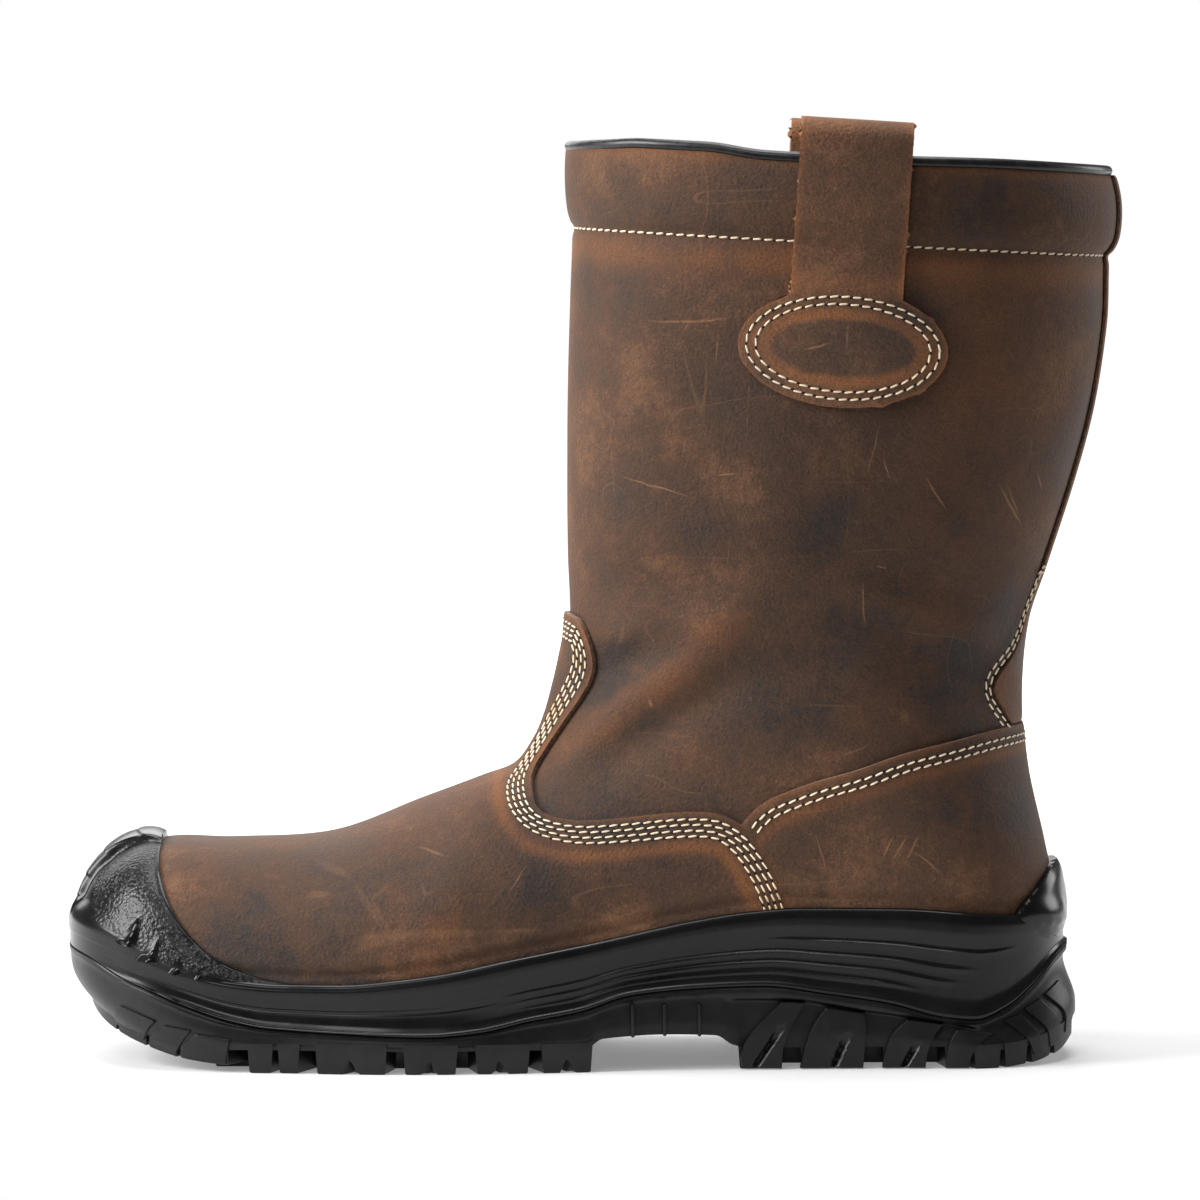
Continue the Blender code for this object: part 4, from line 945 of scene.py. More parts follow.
def black(name, shade, rough, grain, pebbled=False):
    """A moulded black finish; grain is the height of its fine bump in mm."""
    material, tree, shader, where = new_finish(name)
    broad, dust = clouds(tree, where, 24.0, 3.0), clouds(tree, where, 160.0, 4.0, 0.7)
    deep, pale = tuple(v * 0.75 for v in shade), tuple(v * 1.6 for v in shade)
    colour = between(tree, span(tree, dust, 0.3, 0.75), deep, pale)
    gloss = span(tree, broad, 0.3, 0.7, rough - 0.05, rough + 0.06)
    height = combine(tree, "MULTIPLY", clouds(tree, where, 700.0, 4.0, 0.65), grain)
    if pebbled:
        pebble = tagged(tree, "pebble")
        cells = put(tree, "TexVoronoi", {"Vector": where, "Scale": 1050.0}, feature="SMOOTH_F1")
        hollow = combine(tree, "MULTIPLY", cells.outputs["Distance"], 0.8)
        relief = combine(tree, "MULTIPLY", clouds(tree, where, 1000.0, 2.0), 0.9)
        relief = combine(tree, "MULTIPLY", combine(tree, "SUBTRACT", relief, hollow), pebble)
        # painted glints: the tops of the pebbles are painted paler
        colour = between(tree, span(tree, relief, 0.15, 0.42, 0.0, 0.8), colour, PAINTED_PEBBLE_GLINT)
        height = combine(tree, "ADD", height, combine(tree, "MULTIPLY", relief, 0.32))
        gloss = combine(tree, "ADD", gloss, combine(tree, "MULTIPLY", pebble, 0.05))
    tree.links.new(gloss, shader.inputs["Roughness"])
    dress(tree, shader, colour, height, 0.8, 0.001, specular_ior_level=0.3)
    return material


MOULDED_BLACK = black("black_moulding", (0.0030, 0.0030, 0.0035), 0.25, 0.012, pebbled=True)
RUBBER_BLACK = black("black_rubber", (0.0050, 0.0050, 0.0054), 0.36, 0.04)
print("sole finishes ready")

# %% [markdown]
# ## Midsole
# The midsole's side is a row of rings round the outline, close enough to carry its relief: the rounded lip
# under the leather, four swept ridges in waist and heel, a step and a fine line in the forefoot, and a bead
# where it meets the outsole. The ridges have a crisp upper edge and melt away below it.

# %% Midsole
Ridge = namedtuple("Ridge", "share begin full wane end")
RIDGES = [
    Ridge(0.66, 55.0, 82.0, 118.0, 137.0),
    Ridge(0.49, -32.0, 32.0, 100.0, 124.0),
    Ridge(0.35, -26.0, 32.0, 92.0, 119.0),
    Ridge(0.22, -20.0, 32.0, 82.0, 106.0),
]
RIDGE_HEIGHT, RIDGE_FALL, RIDGE_EDGE = 0.8, 0.06, 0.016
FOREFOOT_STEP, STEP_DEEP, LINE_DEEP = 0.52, 0.5, 0.3
SIDE_PROFILE = [
    (0.0, 0.1), (0.03, 0.35), (0.08, -0.4), (0.2, -0.9), (0.5, -0.7), (0.72, -0.25), (0.85, 0.25),
    (0.94, 0.3), (1.0, 0.1),
]
LIP_RADIUS, LEDGE_IN, LEDGE_DROP = 1.6, 4.5, 2.2
LEVELS, LIP_LEVELS, LEDGE_LEVELS = 64, 6, 3


def at_tip(x):
    """1 at the toe's tip, where the side is one smooth curve, and 0 from the ball backwards."""
    return 1.0 - ease(x, SOLE_TOE + 6.0, -108.0)


def midsole_out(share, x):
    """How far the side stands out from the outline."""
    out = glide(SIDE_PROFILE, share) * (1.0 - at_tip(x))
    for ridge in RIDGES:
        strength = ease(x, ridge.begin, ridge.full) * (1.0 - ease(x, ridge.wane, ridge.end))
        below = np.clip((ridge.share - share) / RIDGE_FALL, 0.0, 1.0)
        above = np.clip((share - ridge.share) / RIDGE_EDGE, 0.0, 1.0)
        out = out + RIDGE_HEIGHT * strength * (1.0 - below) ** 1.5 * (1.0 - above)
    fade = (1.0 - ease(x, -45.0, -15.0)) * (1.0 - at_tip(x))
    under_step = (1.0 - ease(share, FOREFOOT_STEP - 0.03, FOREFOOT_STEP)) * ease(share, 0.1, 0.4)
    return out - fade * (STEP_DEEP * under_step + LINE_DEEP * hump(share, FOREFOOT_STEP - 0.09, 0.014))


around = len(sole_edge)
bm, column, number = grid(around, LEVELS + LIP_LEVELS + LEDGE_LEVELS)
spot = column % around
x = edge_x[spot]
low, high = glide(PARTING, x) + GAP, glide(RIM, x)
share = np.clip(number / LEVELS, 0.0, 1.0)
bend = np.clip((number - LEVELS) / LIP_LEVELS, 0.0, 1.0) * np.pi / 2.0
ledge = np.clip((number - LEVELS - LIP_LEVELS) / LEDGE_LEVELS, 0.0, 1.0)
out = midsole_out(share, x) - LIP_RADIUS * (1.0 - np.cos(bend)) - LEDGE_IN * ledge
z = low + (high - LIP_RADIUS - low) * share + LIP_RADIUS * np.sin(bend) - LEDGE_DROP * ledge
flat = sole_edge[spot] + edge_out[spot] * out[:, None]
lay(bm, np.column_stack([flat, z]))
face_out(bm)
piece("midsole_moulding", bm, [MOULDED_BLACK], ["midsole"])

# %% [markdown]
# ## Outsole and lugs
# The outsole wraps up the midsole from below. Its wall is again rings round the outline, closed underneath,
# and the lugs are separate blocks: each starts as a grid on the tread, its border is extruded up into the
# wall, and the bottom edge is bevelled as moulded rubber is. A notch is a dent pushed up into its outer end.

# %% Outsole wall
ROOT = [
    (-153.0, 19.5), (-150.0, 17.2), (-146.0, 14.8), (-141.0, 12.8), (-134.0, 10.6), (-127.0, 9.0),
    (-117.0, 7.2), (-106.0, 6.6), (-97.0, 6.9), (4.0, 6.9), (9.0, 9.9), (27.0, 10.9), (43.0, 10.4),
    (48.0, 7.5), (53.0, 6.4), (116.0, 6.4), (122.0, 5.2), (130.0, 5.6), (138.0, 7.0), (145.0, 9.8),
    (150.0, 13.6),
]
WALL_PROFILE = [
    (0.0, 0.2), (0.025, 0.75), (0.05, 0.35), (0.075, 0.7), (0.12, 0.05), (0.2, -0.55), (0.5, -0.2),
    (0.8, 0.15), (1.0, 0.15),
]
HEEL_FLARE, FLARE_BEGIN, SOLE_HEEL = 3.2, 95.0, 150.0
TOE_TUCK, TUCK_BEGIN, TUCK_POWER = 6.8, -92.0, 3.2
FIN_TOPS = [(44.0, 21.0), (63.0, 20.8), (87.0, 17.4), (110.0, 13.9), (126.0, 11.0)]
FIN_RECESS, WALL_INSET = 1.9, 0.4
WALL_LEVELS, UNDER_LEVELS = 46, 6
UNDER_FROM, UNDER_TO = -128.0, 132.0      # the underside closes on a line between these


def flare(x):
    """The heel spreads towards the floor."""
    return HEEL_FLARE * ease(x, FLARE_BEGIN, SOLE_HEEL)


def tuck(x):
    """The toe rounds under towards the floor."""
    return TOE_TUCK * ease(-x, -TUCK_BEGIN, -SOLE_TOE)


def wall_out(x, z):
    """How far the outsole's wall stands out from the outline."""
    high, low = glide(PARTING, x), glide(ROOT, x)
    share = np.clip((high - z) / (high - low), 0.0, 1.0)
    out = glide(WALL_PROFILE, share) * (1.0 - 0.7 * at_tip(x)) - WALL_INSET * (1.0 - at_tip(x))
    return out + flare(x) * ease(share, 0.2, 0.9) - tuck(x) * share ** TUCK_POWER


def fin_recess(x, z):
    """The hollow band behind the heel's fins."""
    along = ease(x, 45.0, 52.0) * (1.0 - ease(x, 116.0, 124.0))
    return FIN_RECESS * along * (1.0 - ease(z - glide(FIN_TOPS, x), -0.6, 0.5))


bm, column, number = grid(around, WALL_LEVELS + UNDER_LEVELS)
spot = column % around
x = edge_x[spot]
high, low = glide(PARTING, x), glide(ROOT, x)
under = np.clip((number - WALL_LEVELS) / UNDER_LEVELS, 0.0, 1.0)
z = high + (low - high) * np.clip(number / WALL_LEVELS, 0.0, 1.0)
flat = sole_edge[spot] + edge_out[spot] * (wall_out(x, z) - fin_recess(x, z))[:, None]
spine = np.column_stack([np.clip(edge_x[spot], UNDER_FROM, UNDER_TO), swing(edge_x[spot])])
flat = flat * (1.0 - under[:, None]) + spine * under[:, None]
lay(bm, np.column_stack([flat, z]))
outsole_bm = bm
print("outsole wall", len(bm.faces), "faces")

# %% Lugs
Lug = namedtuple("Lug", "begin end notch depth turn")
LUGS = [
    Lug(-153.0, -141.6, None, 10.0, 0.0), Lug(-140.6, -129.8, None, 18.0, 6.0),
    Lug(-128.6, -118.8, None, 26.0, 12.0), Lug(-117.6, -102.4, None, 34.0, 18.0),
    Lug(-96.6, -88.9, None, 42.0, 14.0), Lug(-87.6, -80.9, None, 44.0, 12.0),
    Lug(-76.3, -54.9, -65.9, 47.0, 10.0), Lug(-50.2, -33.9, -42.5, 47.0, 4.0),
    Lug(-28.8, -12.5, -21.4, 45.0, -6.0), Lug(-9.2, 6.2, -1.2, 42.0, -10.0),
    Lug(49.6, 63.0, None, 36.0, 8.0), Lug(68.2, 86.6, 79.2, 36.0, 6.0),
    Lug(92.9, 105.7, 100.3, 34.0, 0.0), Lug(111.3, 118.5, None, 32.0, -8.0),
    Lug(119.6, 127.4, None, 28.0, -14.0), Lug(128.2, 134.8, None, 22.0, -12.0),
    Lug(135.5, 141.4, None, 16.0, -6.0), Lug(142.0, 147.8, None, 12.0, 0.0),
]
TREAD = [
    (-153.0, 16.6), (-150.0, 14.2), (-146.0, 11.8), (-141.0, 9.8), (-134.0, 7.6), (-127.0, 5.8),
    (-117.0, 3.6), (-106.0, 2.4), (-99.5, 2.0), (-97.5, 0.0), (124.0, 0.0), (136.0, 1.0), (144.0, 3.6),
    (150.0, 9.6),
]
NOTCH_HALF, NOTCH_HEIGHT, NOTCH_DEPTH = 2.4, 5.0, 5.5
CENTRE_BLOCKS_X = (-99.2, -78.6, -52.5, -31.3, -10.8, 65.6, 89.8, 108.5)
CENTRE_LONG, CENTRE_INSET, CENTRE_CLEAR = 15.0, 13.0, 0.3
LUG_BEVEL, LUG_STEP, LUG_ROOT, LUG_TAPER, LUG_PROUD, LUG_BEHIND = 0.55, 1.1, 2.0, 0.7, 0.2, 0.8
ROUND = dict(segments=2, profile=0.5, affect="EDGES", material=-1)

side_lines = {
    side: np.column_stack([station_x, swing(station_x) + side * half_width[side]]) for side in (-1, 1)
}
side_lengths = {side: lengths(line) for side, line in side_lines.items()}


def outline_at(side, at):
    """Places on one side's outline and the way out of it, at lengths along it."""
    length, line = side_lengths[side], side_lines[side]
    before, spots, after = (
        np.column_stack([np.interp(at + step, length, line[:, k]) for k in (0, 1)])
        for step in (-0.5, 0.0, 0.5)
    )
    slope = after - before
    slope /= np.linalg.norm(slope, axis=1, keepdims=True)
    return spots, -side * np.column_stack([slope[:, 1], -slope[:, 0]])


def rounded_block(bm, roots, bevel):
    """Extrude a block's border to its roots (places in mm, one for each point) and round its face's edge."""
    border = [edge for edge in bm.edges if edge.is_boundary]
    roots = placed(roots).tolist()
    marks = bm.verts.layers.int.new("root")
    for index, vert in enumerate(bm.verts):
        vert[marks] = index
    for vert in bmesh.ops.extrude_edge_only(bm, edges=border)["geom"]:
        if isinstance(vert, bmesh.types.BMVert):
            vert.co = roots[vert[marks]]
    bm.verts.layers.int.remove(marks)
    bmesh.ops.recalc_face_normals(bm, faces=bm.faces)
    bmesh.ops.bevel(bm, geom=border, offset=bevel * MM, clamp_overlap=True, **ROUND)
    return bm


def lug_block(side, lug):
    """One block of the tread, hung from the outsole's wall and a little wider at its root."""
    ends = np.interp([lug.begin, lug.end], station_x, side_lengths[side])
    columns, deep = max(4, int((ends[1] - ends[0]) / LUG_STEP)), max(4, int(lug.depth / 4.0))
    bm, column, number = grid(columns, deep)
    inward = lug.depth * number / deep
    corners = []
    for taper in (LUG_TAPER * float(ease(lug.begin, -112.0, -95.0)), 0.0):
        at = ends[0] + taper + (ends[1] - ends[0] - 2.0 * taper) * column / columns
        spots, outward = outline_at(side, at)
        x = spots[:, 0]
        behind = (FIN_RECESS + LUG_BEHIND) * ease(x, 46.0, 49.0) * (1.0 - ease(x, 118.0, 120.0))
        flat = spots + outward * (flare(x) - tuck(x) + LUG_PROUD - behind - inward)[:, None]
        flat[:, 0] += math.tan(math.radians(lug.turn)) * inward
        corners.append(flat)
    z = glide(TREAD, np.clip(x, SOLE_TOE, SOLE_HEEL))
    if lug.notch is not None:
        dent = 1.0 - np.abs(x - lug.notch) / NOTCH_HALF - inward / NOTCH_DEPTH
        z = z + NOTCH_HEIGHT * np.clip(dent, 0.0, None)
    lay(bm, np.column_stack([corners[0], z]))
    return rounded_block(bm, np.column_stack([corners[1], glide(ROOT, x) + LUG_ROOT]), LUG_BEVEL)


block_mesh = bpy.data.meshes.new("block")


def add_block(bm):
    """Put a finished block into the outsole."""
    bm.to_mesh(block_mesh)
    bm.free()
    outsole_bm.from_mesh(block_mesh)


def add_bar(x, y, low, high, long, wide, bevel):
    """Put an upright bar with rounded edges into the outsole, in mm."""
    place = Vector(placed(np.array([[x, y, (low + high) / 2.0]]))[0])
    size = Matrix.Diagonal((long * MM, wide * MM, (high - low) * MM, 1.0))
    made = bmesh.ops.create_cube(outsole_bm, size=1.0, matrix=Matrix.Translation(place) @ size)
    edges = dict.fromkeys(edge for vert in made["verts"] for edge in vert.link_edges)
    bmesh.ops.bevel(outsole_bm, geom=list(edges), offset=bevel * MM, **ROUND)


for side in (-1, 1):
    for lug in LUGS:
        add_block(lug_block(side, lug))
for x_at in CENTRE_BLOCKS_X:
    root = glide(ROOT, np.array([x_at]))[0] + LUG_ROOT
    outer, inner = (np.interp(x_at, station_x, side_lines[side][:, 1]) for side in (-1, 1))
    wide = inner - outer - 2.0 * CENTRE_INSET
    add_bar(x_at, (outer + inner) / 2.0, CENTRE_CLEAR, root + 0.1, CENTRE_LONG, wide, LUG_BEVEL)
print(2 * len(LUGS) + len(CENTRE_BLOCKS_X), "lugs")

# %% [markdown]
# The lugs of heel and toe run up the wall as slanting fins, like the cleats of a tyre. Each fin is a grid
# between a left and a right edge, drawn in the side view and laid on the wall, and a narrow V cut splits the
# wider ones. Prisms cut off by the wall would do too, but they would not follow its flare.

# %% Fins
Fin = namedtuple("Fin", "left right cut proud")
FINS = [
    Fin([(50.6, 0.8), (50.4, 4.0), (52.0, 8.8), (57.0, 14.6), (62.6, 20.2)],
        [(62.6, 0.3), (63.2, 7.0), (65.6, 13.0), (67.4, 16.4), (69.6, 19.9)],
        ((54.6, 1.0), (63.0, 13.4)), 0.5),
    Fin([(68.2, 0.3), (69.2, 5.0), (70.6, 10.0), (72.8, 14.4), (75.8, 18.4)],
        [(87.0, 0.3), (87.4, 5.0), (87.8, 9.6), (88.0, 13.0), (87.6, 16.6)],
        ((78.2, 1.0), (82.4, 10.8)), 0.5),
    Fin([(92.8, 0.3), (93.4, 4.6), (94.8, 8.8), (97.0, 11.8), (100.2, 14.6)],
        [(105.6, 0.3), (106.2, 4.6), (107.4, 8.0), (109.0, 11.0), (111.0, 13.2)],
        ((99.2, 1.0), (103.2, 7.8)), 0.5),
    Fin([(111.6, 0.3), (111.8, 3.4), (112.4, 6.4), (113.4, 9.2), (115.2, 11.8)],
        [(118.4, 0.3), (119.0, 3.4), (120.4, 6.0), (122.8, 8.4), (126.0, 10.4)], None, 0.5),
    Fin([(-141.5, 12.0), (-139.5, 15.0), (-135.5, 18.5)],
        [(-130.5, 8.3), (-128.8, 10.6), (-124.5, 14.6)], None, 0.9),
    Fin([(-128.8, 7.5), (-126.8, 10.0), (-121.9, 13.4)],
        [(-119.2, 4.6), (-117.8, 7.2), (-113.6, 12.4)], None, 0.9),
    Fin([(-117.8, 4.4), (-116.6, 7.4), (-111.8, 11.4)],
        [(-103.0, 2.6), (-102.8, 5.0), (-101.8, 10.0)], None, 0.9),
    Fin([(136.5, 3.2), (134.5, 8.5), (129.5, 14.0)],
        [(139.0, 3.8), (138.0, 9.0), (134.5, 15.5)], None, 0.8),
    Fin([(141.0, 5.0), (140.0, 11.0), (135.8, 16.8)],
        [(143.8, 6.6), (143.6, 13.0), (140.4, 19.6)], None, 0.8),
    Fin([(145.4, 8.6), (145.4, 15.0), (142.0, 20.8)],
        [(147.6, 12.0), (148.2, 18.5), (146.4, 24.0)], None, 0.8),
]
FIN_COLUMNS, FIN_ROWS, FIN_BEVEL, FIN_ROOT = 26, 24, 0.6, 1.0
CUT_HALF, CUT_DEPTH = 1.5, 1.9


def fin_block(side, fin):
    """One fin on the outsole's wall."""
    bm, column, number = grid(FIN_COLUMNS, FIN_ROWS)
    sides = []
    for line in (fin.left, fin.right):
        curve = curve_through(line, 0.4)
        sides.append(curve[np.rint(np.linspace(0, len(curve) - 1, FIN_ROWS + 1)).astype(int)][number])
    spots = sides[0] + (sides[1] - sides[0]) * (column / FIN_COLUMNS)[:, None]
    x, z = spots.T
    out = wall_out(x, z) + fin.proud
    if fin.cut is not None:
        foot, tip = np.array(fin.cut)
        rise = np.clip((z - foot[1]) / (tip[1] - foot[1]), 0.0, 1.0)
        aside = np.abs(x - foot[0] - (tip[0] - foot[0]) * rise)
        deep = CUT_DEPTH * np.clip(1.0 - aside / CUT_HALF, 0.0, None)
        out = out - np.minimum(deep, 2.0 * CUT_DEPTH * (1.0 - rise)) * ease(z, -1.0, 2.0)
    edge, outward = outline_at(side, np.interp(x, station_x, side_lengths[side]))
    lay(bm, np.column_stack([edge + outward * out[:, None], z]))
    sunk = edge + outward * (out - fin.proud - FIN_RECESS - FIN_ROOT)[:, None]
    return rounded_block(bm, np.column_stack([sunk, z]), FIN_BEVEL)


for side in (-1, 1):
    for fin in FINS:
        add_block(fin_block(side, fin))
bpy.data.meshes.remove(block_mesh)
print(2 * len(FINS), "fins")

# %% [markdown]
# Under the waist the real sole has thin upright ribs that stiffen the arch. They are slim bevelled bars, set
# half into the wall. Drawing them with bump would lose their bright edges.

# %% Arch ribs
ARCH_RIBS_X = (18.1, 27.6, 38.0)
RIB_WIDTH, RIB_DEPTH, RIB_TOP, RIB_INSET, RIB_DROP, RIB_BEVEL = 1.1, 2.2, 20.0, 0.2, 0.4, 0.4
for side in (-1, 1):
    for x_at in ARCH_RIBS_X:
        y_at = np.interp(x_at, station_x, side_lines[side][:, 1]) - side * RIB_INSET
        foot = glide(ROOT, np.array([x_at]))[0] - RIB_DROP
        add_bar(x_at, y_at, foot, RIB_TOP, RIB_WIDTH, RIB_DEPTH, RIB_BEVEL)
bmesh.ops.remove_doubles(outsole_bm, verts=outsole_bm.verts, dist=WELD)
bmesh.ops.recalc_face_normals(outsole_bm, faces=outsole_bm.faces)
piece("outsole_rubber", outsole_bm, [RUBBER_BLACK], ["outsole"], sharp=35.0)

# %% [markdown]
# ## Toe and heel guards
# The toe guard is moulded with the sole: pebbled on its sides, smooth along a ladder of ledges down the
# front and along a band at its foot, with small buttresses between band and pebbles. All that relief is a
# few millimetres high, so it is set by moving the points of one fine patch in and out. Sculpting would do the
# same by hand, but could not be repeated. The heel guard is a plain tab of the same moulding.

# %% Shape of the toe guard
GUARD_UNDER, GUARD, GUARD_AT_TIP, GUARD_THICK_TO = 2.4, 2.4, 4.4, 4.0
TOE_GUARD_POINTS = [
    (-123.8, 72.0), (-123.9, 64.0), (-123.8, 57.9), (-120.3, 48.6), (-114.1, 40.2), (-105.0, 33.0),
    (-94.0, 28.6), (-80.0, 26.0),
]
SPINE_POINTS = [
    (-128.0, 69.5), (-132.1, 67.0), (-139.1, 61.7), (-143.6, 55.1), (-144.9, 48.7), (-143.4, 43.4),
]
BAND_POINTS = [
    (-143.4, 43.4), (-136.6, 39.6), (-129.7, 35.6), (-122.8, 32.3), (-112.4, 29.2), (-99.2, 27.4),
    (-80.0, 25.5),
]
LADDER_Z = (72.0, 66.1, 60.3, 53.9, 48.1, 42.0)
SPINE_HALF, SPINE_RISE = 15.0, 2.4
BUTTRESSES = [
    ((-129.3, 46.4), (-137.0, 37.2), (-129.6, 36.6)),
    ((-122.9, 41.0), (-130.6, 32.6), (-123.2, 32.2)),
    ((-116.4, 35.0), (-122.0, 28.4), (-115.8, 29.2)),
    ((-110.8, 30.6), (-113.4, 27.4), (-109.8, 28.0)),
]
PEBBLE_SINK, LADDER_STEP, BUTTRESS_RISE, RIDGE_AT = 0.6, 0.4, 1.9, 0.72
SKIRT_PROUD, SKIRT_HEIGHT, SKIRT_DROP, SKIRT_MOST = 0.35, 9.0, 2.6, 7.0
GUARD_FOOT, GUARD_BELOW = 1.2, 5.0

guard_edge = curve_through(TOE_GUARD_POINTS)
guard_area = np.vstack([guard_edge, [-80.0, 0.0], [-FAR, 0.0], [-FAR, 72.0]])
toe_pattern = Pattern(guard_edge, guard_area, SIDE_VIEW)
pebble_line = np.vstack([curve_through(SPINE_POINTS), curve_through(BAND_POINTS)])
pebble_field = np.vstack([pebble_line, [-60.0, 25.5], [-60.0, 90.0], [-128.0, 90.0]])
pebbles = Pattern(pebble_line, pebble_field, SIDE_VIEW)


def pebble_share(places):
    """1 on the pebbled sides, 0 on spine and band and along the guard's edge."""
    return ease(depth_in(pebbles, places), -0.3, 0.6) * ease(depth_in(toe_pattern, places), 0.4, 1.4)


def skirted(places, normals, height):
    """Heights that bring a guard's foot out over the midsole's lip, so that both run on as one moulding."""
    outer = places + normals * height[:, None]
    short = nearest_on(np.vstack([sole_edge, sole_edge[:1]]), outer[:, :2])[1]
    over_rim = outer[:, 2] - glide(RIM, outer[:, 0])
    skirt = 1.0 - ease(over_rim, 0.0, SKIRT_HEIGHT)
    tucked = 1.5 * np.clip(-over_rim - SKIRT_DROP, 0.0, 3.0)
    return height + skirt * np.clip(short + SKIRT_PROUD - tucked, 0.0, SKIRT_MOST)


def buttressed(places):
    """Rise of the small buttresses: from their left side up to a ridge near the right, from tip to foot."""
    rise = np.zeros(len(places))
    for corners in BUTTRESSES:
        spots = np.vstack([places[:, SIDE_VIEW].T, np.ones(len(places))])
        tip, left, right = np.linalg.solve(np.vstack([np.array(corners).T, np.ones(3)]), spots)
        across = right / np.maximum(left + right, 0.05)
        ramp = np.minimum(across / RIDGE_AT, (1.0 - across) / (1.0 - RIDGE_AT))
        inside = np.minimum(np.minimum(tip, left), right) > 0.0
        rise = np.where(inside, np.clip(1.0 - tip, 0.0, 1.0) ** 0.6 * ramp, rise)
    return rise


print(len(BUTTRESSES), "buttresses,", len(LADDER_Z) - 1, "ledges")

# %% Toe and heel guards
HEEL_GUARD_POINTS = [
    (130.0, 44.0), (133.5, 48.4), (137.8, 53.1), (141.5, 57.4), (144.0, 59.3), (148.0, 59.6), (154.0, 59.6),
]


def toe_relief(row, turn):
    """Height of the toe guard over the last."""
    places, normals = last_point(row, turn), last_normal(row, turn)
    height = GUARD_UNDER + GUARD_AT_TIP + (GUARD - GUARD_AT_TIP) * ease(row, 0.0, GUARD_THICK_TO)
    outer = places + normals * height[:, None]
    middle = 1.0 - ease(np.abs(outer[:, 1] - swing(outer[:, 0])), SPINE_HALF - 2.0, SPINE_HALF)
    height = height + SPINE_RISE * middle * ease(row, 0.2, 1.4) * (1.0 - ease(row, 2.4, 4.4))
    rungs = np.array(LADDER_Z)
    step = np.clip(np.searchsorted(-rungs, -outer[:, 2]) - 1, 0, len(rungs) - 2)
    share = np.clip((rungs[step] - outer[:, 2]) / (rungs[step] - rungs[step + 1]), 0.0, 1.0)
    height = height + LADDER_STEP * middle * (share - 0.5) * (outer[:, 2] > rungs[-1])
    height = height - PEBBLE_SINK * pebble_share(outer) * (1.0 - middle)
    height = height + BUTTRESS_RISE * buttressed(outer)
    back = ease(row, 4.5, 6.5)
    return skirted(places, normals, height) * (1.0 - back) + height * back


def above_rim(places):
    """The guard ends just under the midsole's lip."""
    return places[:, 2] > glide(RIM, places[:, 0]) - GUARD_BELOW


bm = cut_panel(
    toe_pattern, (0.0, 7.4), (0.05, 0.95), (290, 440), GUARD_FOOT, toe_relief, roll=1.6, reach=2.0,
    keep=above_rim, soft=0.0, edge_finish=0,
)
spots = np.array([vert.co for vert in bm.verts]) / MM + np.array([MIDDLE_X, 0.0, 0.0])
beside = ease(np.abs(spots[:, 1] - swing(spots[:, 0])), SPINE_HALF - 2.0, SPINE_HALF + 1.0)
tag(bm, "pebble", pebble_share(spots) * beside * (buttressed(spots) < 0.05))
piece("toe_guard_moulding", bm, [MOULDED_BLACK], ["toe_guard"], sharp=50.0)

heel_edge = curve_through(HEEL_GUARD_POINTS)
heel_area = np.vstack([heel_edge, [FAR, 59.6], [FAR, 30.0], [130.0, 30.0]])
heel_pattern = Pattern(heel_edge, heel_area, SIDE_VIEW)


def heel_relief(row, turn):
    """The heel guard has a soft spine and runs out over the lip."""
    height = GUARD_UNDER + GUARD + 0.5 * hump(turn, 0.0, 0.03)
    return skirted(last_point(row, turn), last_normal(row, turn), height)


bm = cut_panel(
    heel_pattern, (10.2, 16.0), (-0.2, 0.2), (110, 120), GUARD_FOOT, heel_relief, roll=1.2, reach=1.2,
    keep=above_rim, soft=0.0, edge_finish=0,
)
piece("heel_guard_moulding", bm, [MOULDED_BLACK], ["heel_guard"], sharp=50.0)

# %% [markdown]
# ## Collar piping, lining and footbed
# A glossy black piping closes the collar. It is a round section carried along the rim, so a grid wrapped
# both ways makes it. Inside, a fabric lining follows the last two millimetres in, and a grey felt footbed
# lies on the sole. The photograph hides both, so they are finished plainly.

# %% Piping
PIPING_RADIUS, PIPING_ROUND, PIPING_ALONG = 1.65, 12, 320
PIPING_IN, PIPING_RISE, PIPING_RISE_BACK = 1.15, 0.5, 1.1
BINDING = two_tone(
    "black_binding", (420.0, 3.0), (0.006, 0.006, 0.007), (0.016, 0.016, 0.018), (0.25, 0.0004), (0.3, 0.45),
    specular_ior_level=0.35, coat_weight=0.1, coat_roughness=0.2,
)

bm, column, number = grid(PIPING_ALONG, PIPING_ROUND)
turn = column / PIPING_ALONG
angle = 2.0 * np.pi * number / PIPING_ROUND
top_rows = np.full(len(turn), TOP_ROW)
heart = on_leather(top_rows, turn, np.full(len(turn), -PIPING_IN))
heart[:, 2] += PIPING_RISE + PIPING_RISE_BACK * ease(np.abs(turn - 0.5), 0.03, 0.12)
outward = last_normal(top_rows, turn) * np.array([1.0, 1.0, 0.0])
outward /= np.linalg.norm(outward, axis=1, keepdims=True)
upward = np.array([0.0, 0.0, 1.0])
lay(bm, heart + PIPING_RADIUS * (outward * np.cos(angle)[:, None] + upward * np.sin(angle)[:, None]))
face_out(bm)
piece("collar_piping_binding", bm, [BINDING], ["collar_piping"])

# %% Lining
def lining_cloth():
    """A knitted lining: fine loops with darker gaps between them."""
    material, tree, shader, where = new_finish("lining_cloth")
    loops = put(tree, "TexVoronoi", {"Vector": where, "Scale": 620.0}).outputs["Distance"]
    broad = clouds(tree, where, 30.0)
    colour = between(tree, span(tree, loops, 0.1, 0.7), (0.20, 0.175, 0.145), (0.085, 0.072, 0.06))
    colour = between(tree, span(tree, broad, 0.4, 0.8, 0.0, 0.4), colour, (0.06, 0.05, 0.042))
    dress(tree, shader, colour, loops, 0.6, 0.0008, invert=True, roughness=0.92, sheen_weight=0.3,
          sheen_roughness=0.5)
    return material


